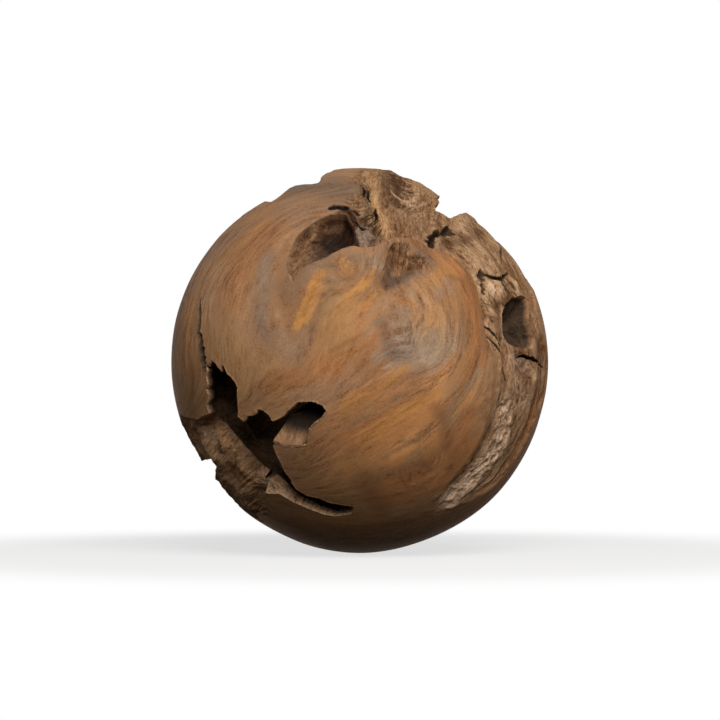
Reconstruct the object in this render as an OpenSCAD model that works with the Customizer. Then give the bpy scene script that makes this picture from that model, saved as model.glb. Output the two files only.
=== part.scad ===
// Teak root ball: one solid turned from the root of a teak tree. The outside is sanded round,
// and the hollows, cracks and grown surfaces of the root are left as they were.
//
// Places on the ball are given in degrees as [round, up]: round from the front (-Y) towards +X,
// and up from the middle. The grown belt runs round the big front lobe, so its places are given
// about the lobe's middle instead, as a turn (0 to the right, 90 up) and a distance from it.

/* [Ball] */
// Diameter over the sanded skin
ball_d = 300; // [270:5:320]
// How far the crown at the top stands proud of the round
crown_rise = 4.5; // [0:0.5:8]
// How far the underside swells past the round
belly_rise = 2; // [0:0.5:4]

/* [Grown belt] */
// How far the lobe's edge is rounded over before it drops to the belt
lobe_roll = 3; // [0.5:0.5:6]
// Depth of the belt at the foot of the lobe, over its top and right side
belt_depth = 13; // [6:0.5:20]
// Depth of the belt where it reaches the far side of the ball
belt_edge_depth = 3.5; // [1:0.5:8]
// Depth of the channel in which the belt runs out at the lower right
channel_depth = 8; // [2:0.5:12]
// Depth of the gap that splits the belt at the upper right
gap_depth = 17; // [6:1:24]
// Height of the ripples that the root left across the belt
ripple_h = 1.2; // [0:0.2:2.4]

/* [Root hollow] */
// Thickness of the skin round the mouth of the hollow at the lower left
hollow_lip = 9; // [6:1:14]
// Depth of the hollow below the skin
hollow_depth = 80; // [65:1:95]
// Half the width of the hollow under its lips, where it is widest
hollow_w = 32; // [28:1:34]
// How far back the sawn face of the block falls from the skin
block_fall = 20; // [8:1:30]
// Depth of the slit under the block
slit_depth = 22; // [8:1:35]
// Depth of the raw ground along its crest, beside the hollow
ground_depth = 5; // [3:0.5:8]
// Depth of the nick in the ground's outer edge
nick_depth = 11; // [4:1:16]

/* [Pockets] */
// Depth of the eye-shaped pocket above the lobe
eye_depth = 20; // [10:1:30]
// Radius to which the eye pocket is rounded inside
eye_w = 15; // [12:1:18]
// Depth of the knot pocket in the lobe
knot_depth = 9; // [4:1:14]
// Radius to which the knot pocket is rounded inside
knot_w = 16; // [13:1:19]
// Depth of the cup in the belt at the right
cup_depth = 24; // [12:1:34]
// Radius to which the cup is rounded inside
cup_w = 16; // [13:1:18]

/* [Cracks] */
// Widest opening of the long crack at the left
crack_w = 5; // [1.5:0.5:7]
// Depth of the long crack
crack_depth = 18; // [6:1:30]
// Width of the small cracks and worm holes
hole_w = 5; // [2:0.5:8]
// Depth of the small cracks and worm holes
hole_depth = 9; // [4:1:15]
// Depth of the steps where the outer layers of the root end, at the upper left
layer_depth = 4; // [1:0.5:6]

/* [Hidden] */

ball_r = ball_d / 2;
proud = 3;           // how far every cutter stands out of the skin
lobe_at = [16.4, 8]; // middle of the lobe, as [round, up]

// ---- places ----

// Unit vector towards a place given as [round, up]
function towards(a) = [cos(a[1]) * sin(a[0]), -cos(a[1]) * cos(a[0]), sin(a[1])];

lobe_out = towards(lobe_at);
lobe_right = [cos(lobe_at[0]), sin(lobe_at[0]), 0];
lobe_up = cross(lobe_right, -lobe_out);

// Unit vector towards a place given as a turn about the lobe and a distance from its middle
function about_lobe(turn, away) =
    lobe_out * cos(away) + (lobe_right * cos(turn) + lobe_up * sin(turn)) * sin(away);

// 0 to 1 with level ends
function ease(t) = let (c = min(1, max(0, t))) c * c * (3 - 2 * c);

function mix(a, b, t) = a + (b - a) * t;

// A table's value with its corners rounded off
function soft(turn, table) =
    (lookup(turn - 4, table) + 2 * lookup(turn, table) + lookup(turn + 4, table)) / 4;

// ---- grown belt ----

// Edge of the lobe: [turn, distance]
inner_edge = [
    [-180, 42], [-110, 44], [-84, 55], [-74, 57], [-66, 51], [-56, 44], [-47, 41], [-34, 38], [-22, 31],
    [-12, 27], [-4, 25], [6, 24.7], [18, 25.6], [27, 27.3], [38, 30], [50, 31.6], [64, 31.5],
    [72, 30.5], [80, 33], [92, 33.5], [104, 30.5], [112, 30.5], [118, 32.5], [180, 42]
];

// Far edge of the belt: [turn, distance]
outer_edge = [
    [-180, 82], [-110, 74], [-84, 61], [-62, 61], [-50, 63], [-36, 61], [-22, 62], [-12, 66],
    [-4, 69], [2, 57], [8, 53], [15, 56], [22, 64], [28, 78], [58, 80], [66, 80], [72, 75],
    [96, 76], [118, 76], [180, 82]
];

// Depth of the belt at the foot of the lobe, halfway and at its far edge, as shares of the
// belt's own depth, of its depth at the edge and of the channel's depth
foot_share = [
    [-76, 0], [-68, 0.14], [-30, 0.12], [-12, 0.14], [-2, 0.35], [8, 0.75], [20, 0.95], [40, 1],
    [66, 1.15], [92, 1], [104, 0.7], [118, 0.25]
];
edge_share = [
    [-76, 0.2], [-68, 0.9], [-24, 0.9], [-10, 0.5], [4, 0.6], [14, 0.8], [26, 1], [60, 1],
    [70, 0.4], [80, 0]
];
channel_share = [[-78, 0], [-68, 0.8], [-58, 1], [-20, 1], [-4, 0.8], [8, 0]];

// The belt starts in a ragged edge at the top and fades out at the lower right
function belt_share(turn, away) =
    let (start = mix(118, 94, (away - 32) / 42) + 1.5 * sin(away * 23))
    ease((start - turn) / 9) * ease((turn + 78) / 8);

function ripple(turn, away) =
    ripple_h * (sin(away * 21 + 40 * sin(turn * 3)) + 0.6 * sin(turn * 19 + away * 5)) / 1.6;

// Depth below the skin across the floor of the belt, from the lobe (0) to the far edge (1)
function floor_depth(turn, share) =
    let (near = belt_depth * soft(turn, foot_share))
    let (far = belt_edge_depth * soft(turn, edge_share))
    let (bed = channel_depth * soft(turn, channel_share) * sin(180 * share))
    mix(near, far, ease(share)) + bed;

// How far the skin stands proud of the round, from its low swells
function swell(turn, away) =
    let (u = about_lobe(turn, away))
    let (rises = [for (w = SWELLS)
        let (off = acos(min(1, u * towards(w))) / w[2])
        w[3] * exp(-off * off)])
    rises * [for (w = SWELLS) 1];

// The crown and two low swells of the underside: [round, up, spread, rise]
SWELLS = [[40, 88, 13, crown_rise], [70, -45, 18, belly_rise], [0, -88, 20, belly_rise]];

// ---- skin, as rows of points from the lobe's middle to the back ----

// Each row is a stretch and how far along it the row lies. The stretches are the lobe (0), the
// drop at its edge (1), the floor of the belt (2), the rise at the far edge (3) and the back (4)
ROWS = concat(
    [for (f = [0.18, 0.35, 0.5, 0.64, 0.76, 0.87, 0.95, 1]) [0, f]],
    [[1, 1]],
    [for (f = [0.1:0.1:1]) [2, f]],
    [[3, 0.5], [3, 1]],
    [for (f = [0.12:0.11:0.95]) [4, f]]
);
drop_deg = 2.2; // width of the drop at the lobe's edge
rise_deg = 3;   // width of the rise at the far edge, over a sanded lip
fade_deg = 12;  // the same where the belt fades out of sight

// The turns of the columns: close together round the belt, wide apart at the left
TURNS = concat([for (t = [-80:3.2:122]) t], [for (t = [127:4.8:277]) t]);

// Turn in the range of the tables
function wrapped(turn) = turn > 180 ? turn - 360 : turn;

function rise_width(turn) = mix(rise_deg, fade_deg, ease((turn - 18) / 8) * ease((100 - turn) / 8));

function row_away(row, turn) =
    let (a = soft(turn, inner_edge))
    let (b = soft(turn, outer_edge))
    let (c = b + rise_width(turn))
    row[0] == 0 ? a * row[1] :
    row[0] == 1 ? a + drop_deg * row[1] :
    row[0] == 2 ? mix(a + drop_deg, b, row[1]) :
    row[0] == 3 ? mix(b, c, row[1]) :
    mix(c, 180, row[1]);

function row_depth(row, turn) =
    row[0] == 0 ? lobe_roll * ease((row[1] - 0.7) / 0.3) * min(1, soft(turn, foot_share)) :
    row[0] == 1 ? floor_depth(turn, 0) :
    row[0] == 2 ? floor_depth(turn, row[1]) + ripple(turn, row_away(row, turn)) :
    row[0] == 3 ? floor_depth(turn, 1) * (1 - ease(row[1])) :
    0;

function skin_point(row, turn) =
    let (away = row_away(row, turn))
    let (sunk = belt_share(turn, away) * row_depth(row, turn))
    (ball_r + swell(turn, away) - sunk) * about_lobe(turn, away);

module skin() {
    n = len(TURNS);
    rows = [for (row = ROWS) each [for (t = TURNS) skin_point(row, wrapped(t))]];
    front = ball_r * lobe_out;
    back = -front;
    last = len(ROWS) - 1;
    polyhedron(
        points = concat([front, back], rows),
        faces = concat(
            [for (j = [0:n - 1]) [0, 2 + (j + 1) % n, 2 + j]],
            [for (i = [0:last - 1], j = [0:n - 1])
                let (a = 2 + i * n, k = (j + 1) % n)
                each [[a + j, a + k, a + n + j], [a + k, a + n + k, a + n + j]]],
            [for (j = [0:n - 1]) [1, 2 + last * n + j, 2 + last * n + (j + 1) % n]]
        ),
        convexity = 6
    );
}

// ---- tools that cut the hollows ----

// Turns its children so that +Z points out of the ball at a place
module on_ball(a) {
    rotate([0, 0, a[0]]) rotate([90 - a[1], 0, 0]) children();
}

// A blunt spike into the skin: [round, up, width, depth]
module spike(s) {
    on_ball(s) translate([0, 0, ball_r - s[3]]) {
        cylinder(h = s[3] + proud, d1 = s[2] * 0.3, d2 = s[2], $fn = 7);
    }
}

// A ragged crack: spikes joined one to the next
module crack(path) {
    for (i = [0:len(path) - 2]) {
        hull() {
            spike(path[i]);
            spike(path[i + 1]);
        }
    }
}

// A ball-shaped bite with its middle below the skin: [round, up, depth of the middle, radius]
module bite(b) {
    translate((ball_r - b[2]) * towards(b)) sphere(r = b[3], $fn = 22);
}

// A rounded hollow: bites joined one to the next
module scoop(path) {
    for (i = [0:len(path) - 2]) {
        hull() {
            bite(path[i]);
            bite(path[i + 1]);
        }
    }
}

// Everything behind an outline on the front of the ball, straight back past its middle
module behind(outline, past) {
    translate([0, past, 0]) rotate([90, 0, 0]) linear_extrude(ball_r + past + proud, convexity = 8) {
        polygon([for (a = outline) let (u = towards(a)) ball_r * [u[0], u[2]]]);
    }
}

// Everything outside a profile of the ball's edge, straight through from front to back. The
// profile is seen from the front, each point as [angle from the right, height above the round]
module trim(profile) {
    last = len(profile) - 1;
    clear = [for (i = [last:-1:0]) [profile[i][0], 3 * proud]];
    rotate([90, 0, 0]) linear_extrude(2 * ball_r, center = true, convexity = 8) {
        polygon([for (p = concat(profile, clear)) (ball_r + p[1]) * [cos(p[0]), sin(p[0])]]);
    }
}

// A cut with straight sides, joined from one station to the next. A station is a list of corners,
// each as [round, up, depth below the skin]
module cut_along(stations) {
    for (i = [0:len(stations) - 2]) {
        hull() {
            for (c = concat(stations[i], stations[i + 1])) {
                translate((ball_r - c[2]) * towards(c)) sphere(r = 0.4, $fn = 4);
            }
        }
    }
}

// ---- edges trimmed from front to back ----

// The broken end of the plank at the top, the floor of the gap and the peak beyond it, opening
// at the back into a torn hollow
module gap() {
    d = gap_depth;
    scoop([[122, 47, 0, d], [136, 40, -d * 0.12, d * 1.4], [150, 31, -d * 0.24, d * 1.12]]);
    trim([[54.4, 0], [54.7, -d * 0.26], [57, -d * 0.76], [57.8, -d * 0.97], [61, -d], [63.3, -d],
          [64.2, -d * 0.82], [63.5, -d * 0.53], [64.8, -d * 0.41], [64.2, -d * 0.24],
          [64.4, -d * 0.06]]);
}

// The ends of the outer layers of the root over the upper left: two worn dips and a step
module layers() {
    d = layer_depth;
    trim([[101.6, d * 0.25], [102, -d], [105, -d * 1.12], [109.5, -d * 0.3], [111.8, -d * 0.3],
          [115.4, -d * 0.88], [118.6, -d * 1.38], [120.4, -d * 0.62], [126, -d * 0.25],
          [133, -d * 0.15], [140, d * 0.12]]);
}

// The nick in the outer edge of the ground at the lower left
module nick() {
    d = nick_depth;
    trim([[196, d * 0.03], [206, -d * 0.18], [212, -d * 0.18], [212.3, -d * 0.55], [213, -d],
          [216, -d * 1.05], [216.5, -d * 0.82], [219, -d * 0.27], [226, -d * 0.2],
          [232, -d * 0.05], [238, d * 0.05]]);
}

// ---- root hollow ----

// The mouth's edge: down the left wall, along the torn top, round the right arm and the block,
// down to the ledge and back up across the ground at the left
MOUTH = [
    [-53.4, 1.5], [-50.9, -1.3], [-49.4, 0.4], [-47.5, -1.1], [-45.4, -2.8], [-45, -0.9],
    [-42.6, -3.9], [-40.2, -5.8], [-39.5, -7.5], [-40, -12], [-41.4, -16.9], [-39.8, -18.4],
    [-36.8, -16.4], [-34.5, -16.1], [-32.3, -13.9], [-29, -15.6], [-28.2, -17.4], [-27.1, -17.7],
    [-24.3, -16.5], [-20, -13], [-17.1, -11.8], [-14.4, -11.8], [-11.3, -13], [-10.4, -14.6],
    [-14, -17.9], [-16.2, -19.9], [-16.1, -21.7], [-17.7, -24.6], [-22.9, -25.3], [-28.4, -24],
    [-29.4, -27.3], [-28.1, -32.4], [-28.6, -33.8], [-36.5, -39.5], [-44, -43], [-48, -36],
    [-51, -28], [-55, -22], [-55.5, -16.8], [-53.7, -14.9], [-53.6, -12.5], [-52.3, -6.4],
    [-51.9, -2.3]
];

// The sawn end of the block, from its front edge back into the arm: [round, up, share of fall]
SAWN = [[-28.6, -24, 0], [-22.9, -25.4, 0], [-17.8, -24.8, 0], [-16, -20.1, 0.1],
        [-19.7, -19.9, 1], [-24.6, -18.3, 1]];

module root_hollow() {
    d = hollow_depth;
    w = hollow_w;
    difference() {
        union() {
            difference() {
                behind(MOUTH, 0);
                sphere(r = ball_r - hollow_lip * 3, $fn = 36);
            }
            intersection() {
                sphere(r = ball_r - hollow_lip, $fn = 60);
                union() {
                    scoop([[-46, 0, d - w * 1.5, w * 0.62], [-44, -12, d - w * 1.38, w * 0.84],
                           [-43, -20, d - w, w], [-43, -30, d - w * 1.5, w * 0.78],
                           [-42, -37, d - w * 2, w * 0.56]]);
                    scoop([[-43, -20, d - w * 1.06, w * 0.94], [-31, -20, d - w * 1.5, w * 0.69],
                           [-22, -16, d - w * 1.75, w * 0.5], [-14, -15, d - w * 1.94, w * 0.38]]);
                    scoop([[-46, -12, d - w * 1.56, w * 0.62], [-58, -13, d - w * 1.75, w * 0.41],
                           [-64, -20, d - w * 1.88, w * 0.38]]);
                }
            }
        }
        block();
    }
}

module block() {
    cut_along([for (deep = [0, hollow_depth / 2])
        [for (a = SAWN) [a[0], a[1], block_fall * a[2] + deep - 0.5]]]);
}

// The raw ground outside the hollow at the lower left, in two strips along its crest: one from
// the far side of the ball up to the crest, one from the crest down into the hollow
module ground() {
    d = ground_depth;
    outer = [[-84, -13], [-86, -20], [-84, -28], [-82, -35], [-80, -42], [-74, -50]];
    crest = [[-63, -17.5], [-67, -21], [-61, -25], [-53, -29], [-52, -35], [-56, -43]];
    inner = [[-50, -14], [-43, -17], [-36, -20], [-30, -23], [-27, -28], [-33, -35]];
    dips = [0.7, 1, 0.6, 1.1, 0.7, 0.2];
    cut_along([for (i = [0:5]) [
        [each outer[i], -proud], [each outer[i], 0],
        [each crest[i], d * dips[i]], [each crest[i], -proud]
    ]]);
    cut_along([for (i = [0:5]) [
        [each crest[i], -2 * proud], [each crest[i], d * (dips[i] - 0.06)],
        [each inner[i], 7 * d], [each inner[i], -2 * proud]
    ]]);
}

// Slit under the block, with the raw slope of the ledge below it. Each station is the upper edge,
// the lower edge and the root
module ledge() {
    d = slit_depth;
    cut_along([
        [[-29, -33, -proud], [-45, -43.4, -proud], [-38, -36, d * 0.5]],
        [[-27.5, -38.5, -proud], [-36.2, -43, -proud], [-31, -36, d * 0.6]],
        [[-25, -42.5, -proud], [-29, -47, -proud], [-26, -39.5, d * 0.7]],
        [[-15.4, -45.6, -proud], [-20.6, -50.8, -proud], [-17, -42, d]],
        [[-7.8, -47.2, -proud], [-13.4, -52.6, -proud], [-9.5, -44, d]],
        [[-3.6, -48, -proud], [-3.7, -51, -proud], [-4, -46, d * 0.5]]
    ]);
}

// ---- pockets ----

EYE = [
    [-26, 32.2], [-26.1, 35.8], [-25.3, 39.6], [-23.1, 43.1], [-19.7, 46.5], [-14.9, 49.2],
    [-6.7, 49.8], [-3, 45], [0, 38], [-4.8, 36.3], [-9.1, 34.2], [-16.1, 30.7], [-20.1, 27.7],
    [-22, 24.1], [-25.5, 28.7]
];

module eye() {
    d = eye_depth;
    w = eye_w;
    intersection() {
        behind(EYE, 0);
        scoop([[-25, 28, d * 0.05, w * 0.4], [-21, 34, d * 0.15, w * 0.8], [-14, 42, d - w, w],
               [-4, 44, d - w * 0.93, w * 0.93]]);
    }
    crack([[-14.6, 52.4, hole_w * 0.6, hole_depth * 0.6], [-9, 52.6, hole_w, hole_depth * 0.8],
           [-5.6, 52.1, hole_w * 1.2, hole_depth]]);
}

KNOT = [
    [10, 31], [8.4, 28.6], [7.2, 25.9], [7.1, 23.4], [8.8, 21.2], [12.3, 21.2], [15.4, 22.8],
    [18.5, 25.3], [21.9, 28.4], [25, 31.8], [25.3, 35], [22.9, 37.6], [18.6, 39.1], [15.2, 36.4],
    [12.8, 33.5]
];

module knot() {
    d = knot_depth;
    w = knot_w;
    deep = knot_depth + hole_depth;
    intersection() {
        behind(KNOT, 0);
        scoop([[11.5, 25, d - w * 0.75, w * 0.75], [17, 31, d * 1.1 - w, w],
               [21, 35, d - w * 0.75, w * 0.75]]);
    }
    crack([[15, 37, hole_w * 0.6, deep * 0.55], [17, 33.5, hole_w * 1.2, deep * 0.95],
           [23, 32, hole_w * 0.6, deep * 0.65]]);
}

CUP = [
    [56.3, 18.8], [62.3, 19.8], [67.9, 18.6], [68.8, 16.4], [65.2, 14.5], [66.6, 12.7],
    [64.4, 10.8], [66.7, 8.7], [69.3, 5.8], [67.8, 3.3], [60.8, 2.1], [54.9, 3.6], [51.2, 7.2],
    [51, 10.7], [52.9, 15]
];

module cup() {
    d = cup_depth;
    w = cup_w;
    intersection() {
        behind(CUP, 0);
        scoop([[62, 5, d - w, w * 0.81], [63, 11, d * 1.04 - w, w], [63, 17, d - w, w * 0.81]]);
    }
}

// ---- cracks and holes ----

module left_crack() {
    crack([[-60.4, 18.2, crack_w * 0.2, crack_depth * 0.3],
           [-59, 15, crack_w * 0.6, crack_depth * 0.6],
           [-57.3, 10.5, crack_w * 0.7, crack_depth * 0.8], [-55.5, 6, crack_w, crack_depth],
           [-53.8, 1, crack_w * 1.3, crack_depth], [-52, -4, crack_w, crack_depth]]);
}

// Holes and cracks in the belt beyond the lobe: [round, up, width, depth below the skin]
module belt_cracks() {
    w = hole_w;
    deep = belt_depth + hole_depth;
    crack([[49, 30, w, deep], [47, 27, w * 1.3, deep], [46, 22, w, deep],
           [45, 18, w * 0.4, deep * 0.86]]);
    crack([[60, 29, w * 0.6, deep], [62, 22, w, deep]]);
    crack([[66, 29, w * 0.6, deep * 0.86], [68, 22, w, deep * 0.86]]);
    crack([[45, 10, w * 0.6, deep * 0.77], [50, 3, w * 0.4, deep * 0.64]]);
    crack([[70, 0, w * 0.8, deep * 0.6], [82, -1, w, deep * 0.6]]);
    crack([[31.5, 41, w * 0.6, deep], [33, 44, w * 1.4, deep * 1.14],
           [36, 50, w * 1.6, deep * 1.18], [42, 51, w * 0.8, deep]]);
}

// Small holes at the top, by the slit and in the ground
module worm_holes() {
    w = hole_w;
    d = hole_depth;
    crack([[6.6, 65, w * 0.6, d * 1.5], [7.4, 61, w * 0.6, d * 1.5]]);
    crack([[7, 52.5, w * 0.6, d * 2.1], [7.4, 48.5, w * 0.8, d * 2.1]]);
    crack([[-2.2, 51, w * 0.8, d], [-1, 52, w * 0.6, d]]);
    crack([[-27.4, -35.5, w * 0.6, d], [-27.8, -39.8, w * 0.6, d]]);
    crack([[-43, -47, w * 0.4, d], [-41, -48.5, w * 0.6, d], [-36, -48, w * 0.4, d]]);
}

module ball() {
    color("peru") difference() {
        skin();
        root_hollow();
        ledge();
        ground();
        gap();
        eye();
        knot();
        cup();
        left_crack();
        belt_cracks();
        worm_holes();
        layers();
        nick();
    }
}

ball();
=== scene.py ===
import logging
import math
from dataclasses import dataclass, field
from enum import Enum, IntEnum
from functools import partial
from itertools import compress
from typing import Any, Optional, Protocol, Sequence, Union

import bmesh
import bpy
import numpy as np
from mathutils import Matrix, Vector


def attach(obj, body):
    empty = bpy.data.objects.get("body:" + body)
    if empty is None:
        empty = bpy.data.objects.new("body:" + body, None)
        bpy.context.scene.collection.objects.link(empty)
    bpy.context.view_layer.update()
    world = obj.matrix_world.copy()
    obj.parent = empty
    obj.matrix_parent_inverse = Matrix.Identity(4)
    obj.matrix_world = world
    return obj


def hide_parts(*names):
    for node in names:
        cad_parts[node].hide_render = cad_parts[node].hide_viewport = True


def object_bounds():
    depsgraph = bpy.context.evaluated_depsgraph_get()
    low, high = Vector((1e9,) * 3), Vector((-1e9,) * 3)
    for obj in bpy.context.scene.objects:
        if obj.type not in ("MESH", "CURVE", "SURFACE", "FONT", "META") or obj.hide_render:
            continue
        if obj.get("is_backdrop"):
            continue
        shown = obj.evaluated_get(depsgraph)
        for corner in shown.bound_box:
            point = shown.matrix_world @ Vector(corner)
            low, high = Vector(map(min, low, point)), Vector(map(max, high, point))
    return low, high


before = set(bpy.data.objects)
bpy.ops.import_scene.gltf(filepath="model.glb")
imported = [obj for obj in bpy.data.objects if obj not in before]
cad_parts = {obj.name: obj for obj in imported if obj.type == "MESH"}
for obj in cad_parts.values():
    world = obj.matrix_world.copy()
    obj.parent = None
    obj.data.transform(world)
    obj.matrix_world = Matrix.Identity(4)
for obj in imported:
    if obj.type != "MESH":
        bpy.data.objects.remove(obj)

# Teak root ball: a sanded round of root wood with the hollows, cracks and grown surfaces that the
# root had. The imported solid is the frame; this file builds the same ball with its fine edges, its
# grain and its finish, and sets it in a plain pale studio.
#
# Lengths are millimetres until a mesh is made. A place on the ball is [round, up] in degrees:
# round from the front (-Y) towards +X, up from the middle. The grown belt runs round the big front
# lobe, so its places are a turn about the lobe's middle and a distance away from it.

Array = np.ndarray
log = logging.getLogger("root_ball")

MM = 0.001  # one millimetre in metres
RADIUS = 150.0  # of the sanded round
LOBE_AT = (16.4, 8.0)  # middle of the front lobe
SEED = 41


class Made(IntEnum):
    """How a face of the ball came to be."""

    SKIN = 0  # the outside: sanded, or grown where the belt is
    WORN_AND_HIGHLIT = 1  # a lip rubbed pale, and partly a painted highlight on the edge
    RAW = 2  # torn or grown wood
    SAWN = 3  # the saw's face
    CAVE = 4  # deep, and painted dark with depth as shade
    DARK_AND_SHADED = 5  # darkened from its rim down: dark wood, and painted shade deeper in


# ---- places, directions and noise ----


def towards(places: Array) -> Array:
    """Unit vectors towards places: round turns -Y towards +X, up lifts it towards +Z.

    Args:
        places: [round, up] in degrees, in the last axis.
    Returns:
        Unit vectors, in the last axis.
    """
    turn = np.radians(np.asarray(places, float))
    level = np.cos(turn[..., 1])
    return np.stack(
        [level * np.sin(turn[..., 0]), -level * np.cos(turn[..., 0]), np.sin(turn[..., 1])], -1
    )


def unit(vectors: Array) -> Array:
    """Vectors divided by their lengths."""
    return vectors / np.maximum(np.linalg.norm(vectors, axis=-1, keepdims=True), 1e-12)


def ease(share: Array) -> Array:
    """A step from 0 to 1 with level ends: 3 t squared less 2 t cubed, t held between 0 and 1."""
    held = np.clip(share, 0.0, 1.0)
    return held * held * (3.0 - 2.0 * held)


def mix(low: Array, high: Array, share: Array) -> Array:
    """The value that lies the given share of the way from low to high."""
    return low + (high - low) * share


def eased(at: Array, knots: Sequence[tuple[float, float]]) -> Array:
    """A value that goes from knot to knot in eased steps and is level outside them.

    Args:
        at: where the value is wanted.
        knots: places in rising order, each with its value.
    Returns:
        The values.
    """
    total = np.full(np.shape(at), float(knots[0][1]))
    for (start, low), (end, high) in zip(knots, knots[1:]):
        total = total + (high - low) * ease((at - start) / (end - start))
    return total


LOBE_OUT = towards(np.array(LOBE_AT))
LOBE_RIGHT = np.array([math.cos(math.radians(LOBE_AT[0])), math.sin(math.radians(LOBE_AT[0])), 0.0])
LOBE_UP = np.cross(LOBE_RIGHT, -LOBE_OUT)


def about_lobe(turn: Array, away: Array) -> Array:
    """Unit vectors at a turn about the lobe's middle and a distance away from it.

    Args:
        turn: turns in degrees.
        away: distances in degrees.
    Returns:
        Unit vectors, in the last axis.
    """
    turn, away = np.radians(turn)[..., None], np.radians(away)[..., None]
    sideways = LOBE_RIGHT * np.cos(turn) + LOBE_UP * np.sin(turn)
    return LOBE_OUT * np.cos(away) + sideways * np.sin(away)


def lobe_places(directions: Array) -> tuple[Array, Array]:
    """The turn about the lobe and the distance from it of unit vectors, in degrees."""
    turn = np.degrees(np.arctan2(directions @ LOBE_UP, directions @ LOBE_RIGHT))
    return turn, np.degrees(np.arccos(np.clip(directions @ LOBE_OUT, -1.0, 1.0)))


@dataclass(frozen=True)
class Noise:
    """Smooth seeded noise: random numbers on a cubic lattice, blended by eased shares."""

    seed: int = SEED
    numbers: int = 4096  # in the table, a power of two

    def at(self, points: Array) -> Array:
        """Noise between -1 and 1 where one cell of the lattice is one unit wide.

        Args:
            points: places in space, in the last axis.
        Returns:
            One value a place.
        """
        table = np.random.default_rng(self.seed).uniform(-1.0, 1.0, self.numbers)
        scatter = np.array([73856093, 19349663, 83492791])  # large primes spread the cells
        cell = np.floor(points).astype(np.int64)
        share = ease(points - cell)
        total = np.zeros(points.shape[:-1])
        for corner in np.ndindex(2, 2, 2):
            key = np.bitwise_xor.reduce((cell + corner) * scatter, axis=-1)
            value = table[key & (self.numbers - 1)]
            side = np.where(np.array(corner) == 1, share, 1.0 - share)
            total += value * side.prod(-1)
        return total

    def layered(self, points: Array, layers: int = 3) -> Array:
        """Noise plus the same at twice the fineness and half the height, and so on."""
        return sum(self.at(points * 2.0**k + 17.3 * k) * 0.5**k for k in range(layers))

    def ridged(self, points: Array, layers: int = 2) -> Array:
        """Sharp ridges between 0 and 1: one less the size of the noise, layer on layer."""
        return 1.0 - np.abs(self.layered(points, layers))


NOISE = Noise()


def fibre_space(spots: Array, grain: Array, wide: float, long: float) -> Array:
    """Places for noise that is drawn out along the fibres.

    The distance across the grain over one width is added to the first coordinate of the place
    over one length, so the noise changes fast across the fibres and slowly along them.
    """
    return spots / long + np.stack([grain / wide, grain * 0.0, grain * 0.0], -1)


def along_knots(knots: Array, step: float, smooth: bool = True) -> Array:
    """Rows at an even step along a curve through the knots (Catmull-Rom), or straight between them.

    Args:
        knots: one row a knot; the first three columns are a place in mm.
        step: wanted distance between rows.
        smooth: a curve if true, straight stretches if not.
    Returns:
        The rows, from the first knot to the last.
    """
    knots = np.asarray(knots, float)
    padded = np.concatenate([2 * knots[:1] - knots[1:2], knots, 2 * knots[-1:] - knots[-2:-1]])
    rows = []
    for a, b, c, d in zip(padded[:-3], padded[1:-2], padded[2:-1], padded[3:]):
        count = max(1, int(round(np.linalg.norm((c - b)[:3]) / step)))
        t = np.linspace(0.0, 1.0, count, endpoint=False)[:, None]
        if smooth:
            rows.append(0.5 * (2 * b + (c - a) * t + (2 * a - 5 * b + 4 * c - d) * t**2
                               + (3 * b - a - 3 * c + d) * t**3))
        else:
            rows.append(mix(b, c, t))
    return np.concatenate(rows + [knots[-1:]])


def distance_to(directions: Array, path: Sequence[Sequence[float]]) -> Array:
    """Distance in mm from each direction on the ball to a path of places.

    The path's stretches are straight lines, and a place's distance to one is that to its foot on
    the line, or to the nearer end.

    Args:
        directions: unit vectors, in the last axis.
        path: the places, in degrees.
    Returns:
        One distance a direction.
    """
    knots, spots = towards(np.array(path)) * RADIUS, directions * RADIUS
    nearest = np.linalg.norm(spots - knots[0], axis=-1)
    for start, end in zip(knots[:-1], knots[1:]):
        span = end - start
        share = np.clip(((spots - start) @ span) / (span @ span), 0.0, 1.0)[..., None]
        nearest = np.minimum(nearest, np.linalg.norm(spots - (start + span * share), axis=-1))
    return nearest


# ---- surfaces ----


CLEAR = 6.0  # mm that a cutter stands out of the ball


def read(items: Any, key: str, width: int = 1, kind: type = np.int32) -> Array:
    """Reads a value, or a row of values, of each item of a mesh.

    Args:
        items: the points, edges, faces, corners or values of an attribute.
        key: the name of the value.
        width: how many numbers an item has.
        kind: the numbers' type.
    Returns:
        One number an item, or one row where an item has several.
    """
    values = np.zeros(len(items) * width, kind)
    items.foreach_get(key, values)
    return values.reshape(-1, width) if width > 1 else values


@dataclass
class Surface:
    """A closed surface in mm: its points, its faces and what made each face."""

    points: Array
    faces: list[list[int]]
    made: Array

    def to_object(self, name: str) -> bpy.types.Object:
        """Makes a Blender object of the surface, with its faces turned outwards.

        Args:
            name: the object's name.
        Returns:
            The new object, linked to the scene.
        """
        mesh = bpy.data.meshes.new(name)
        mesh.from_pydata((self.points * MM).tolist(), [], self.faces)
        mesh.calc_loop_triangles()
        a, b, c = self.points[read(mesh.loop_triangles, "vertices", 3).T]
        if np.einsum("ij,ij->", a, np.cross(b, c)) < 0:
            mesh.flip_normals()
        tags = mesh.attributes.new("made", "INT", "FACE")
        tags.data.foreach_set("value", self.made.astype(np.int32))
        piece = bpy.data.objects.new(name, mesh)
        bpy.context.scene.collection.objects.link(piece)
        return piece


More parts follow.
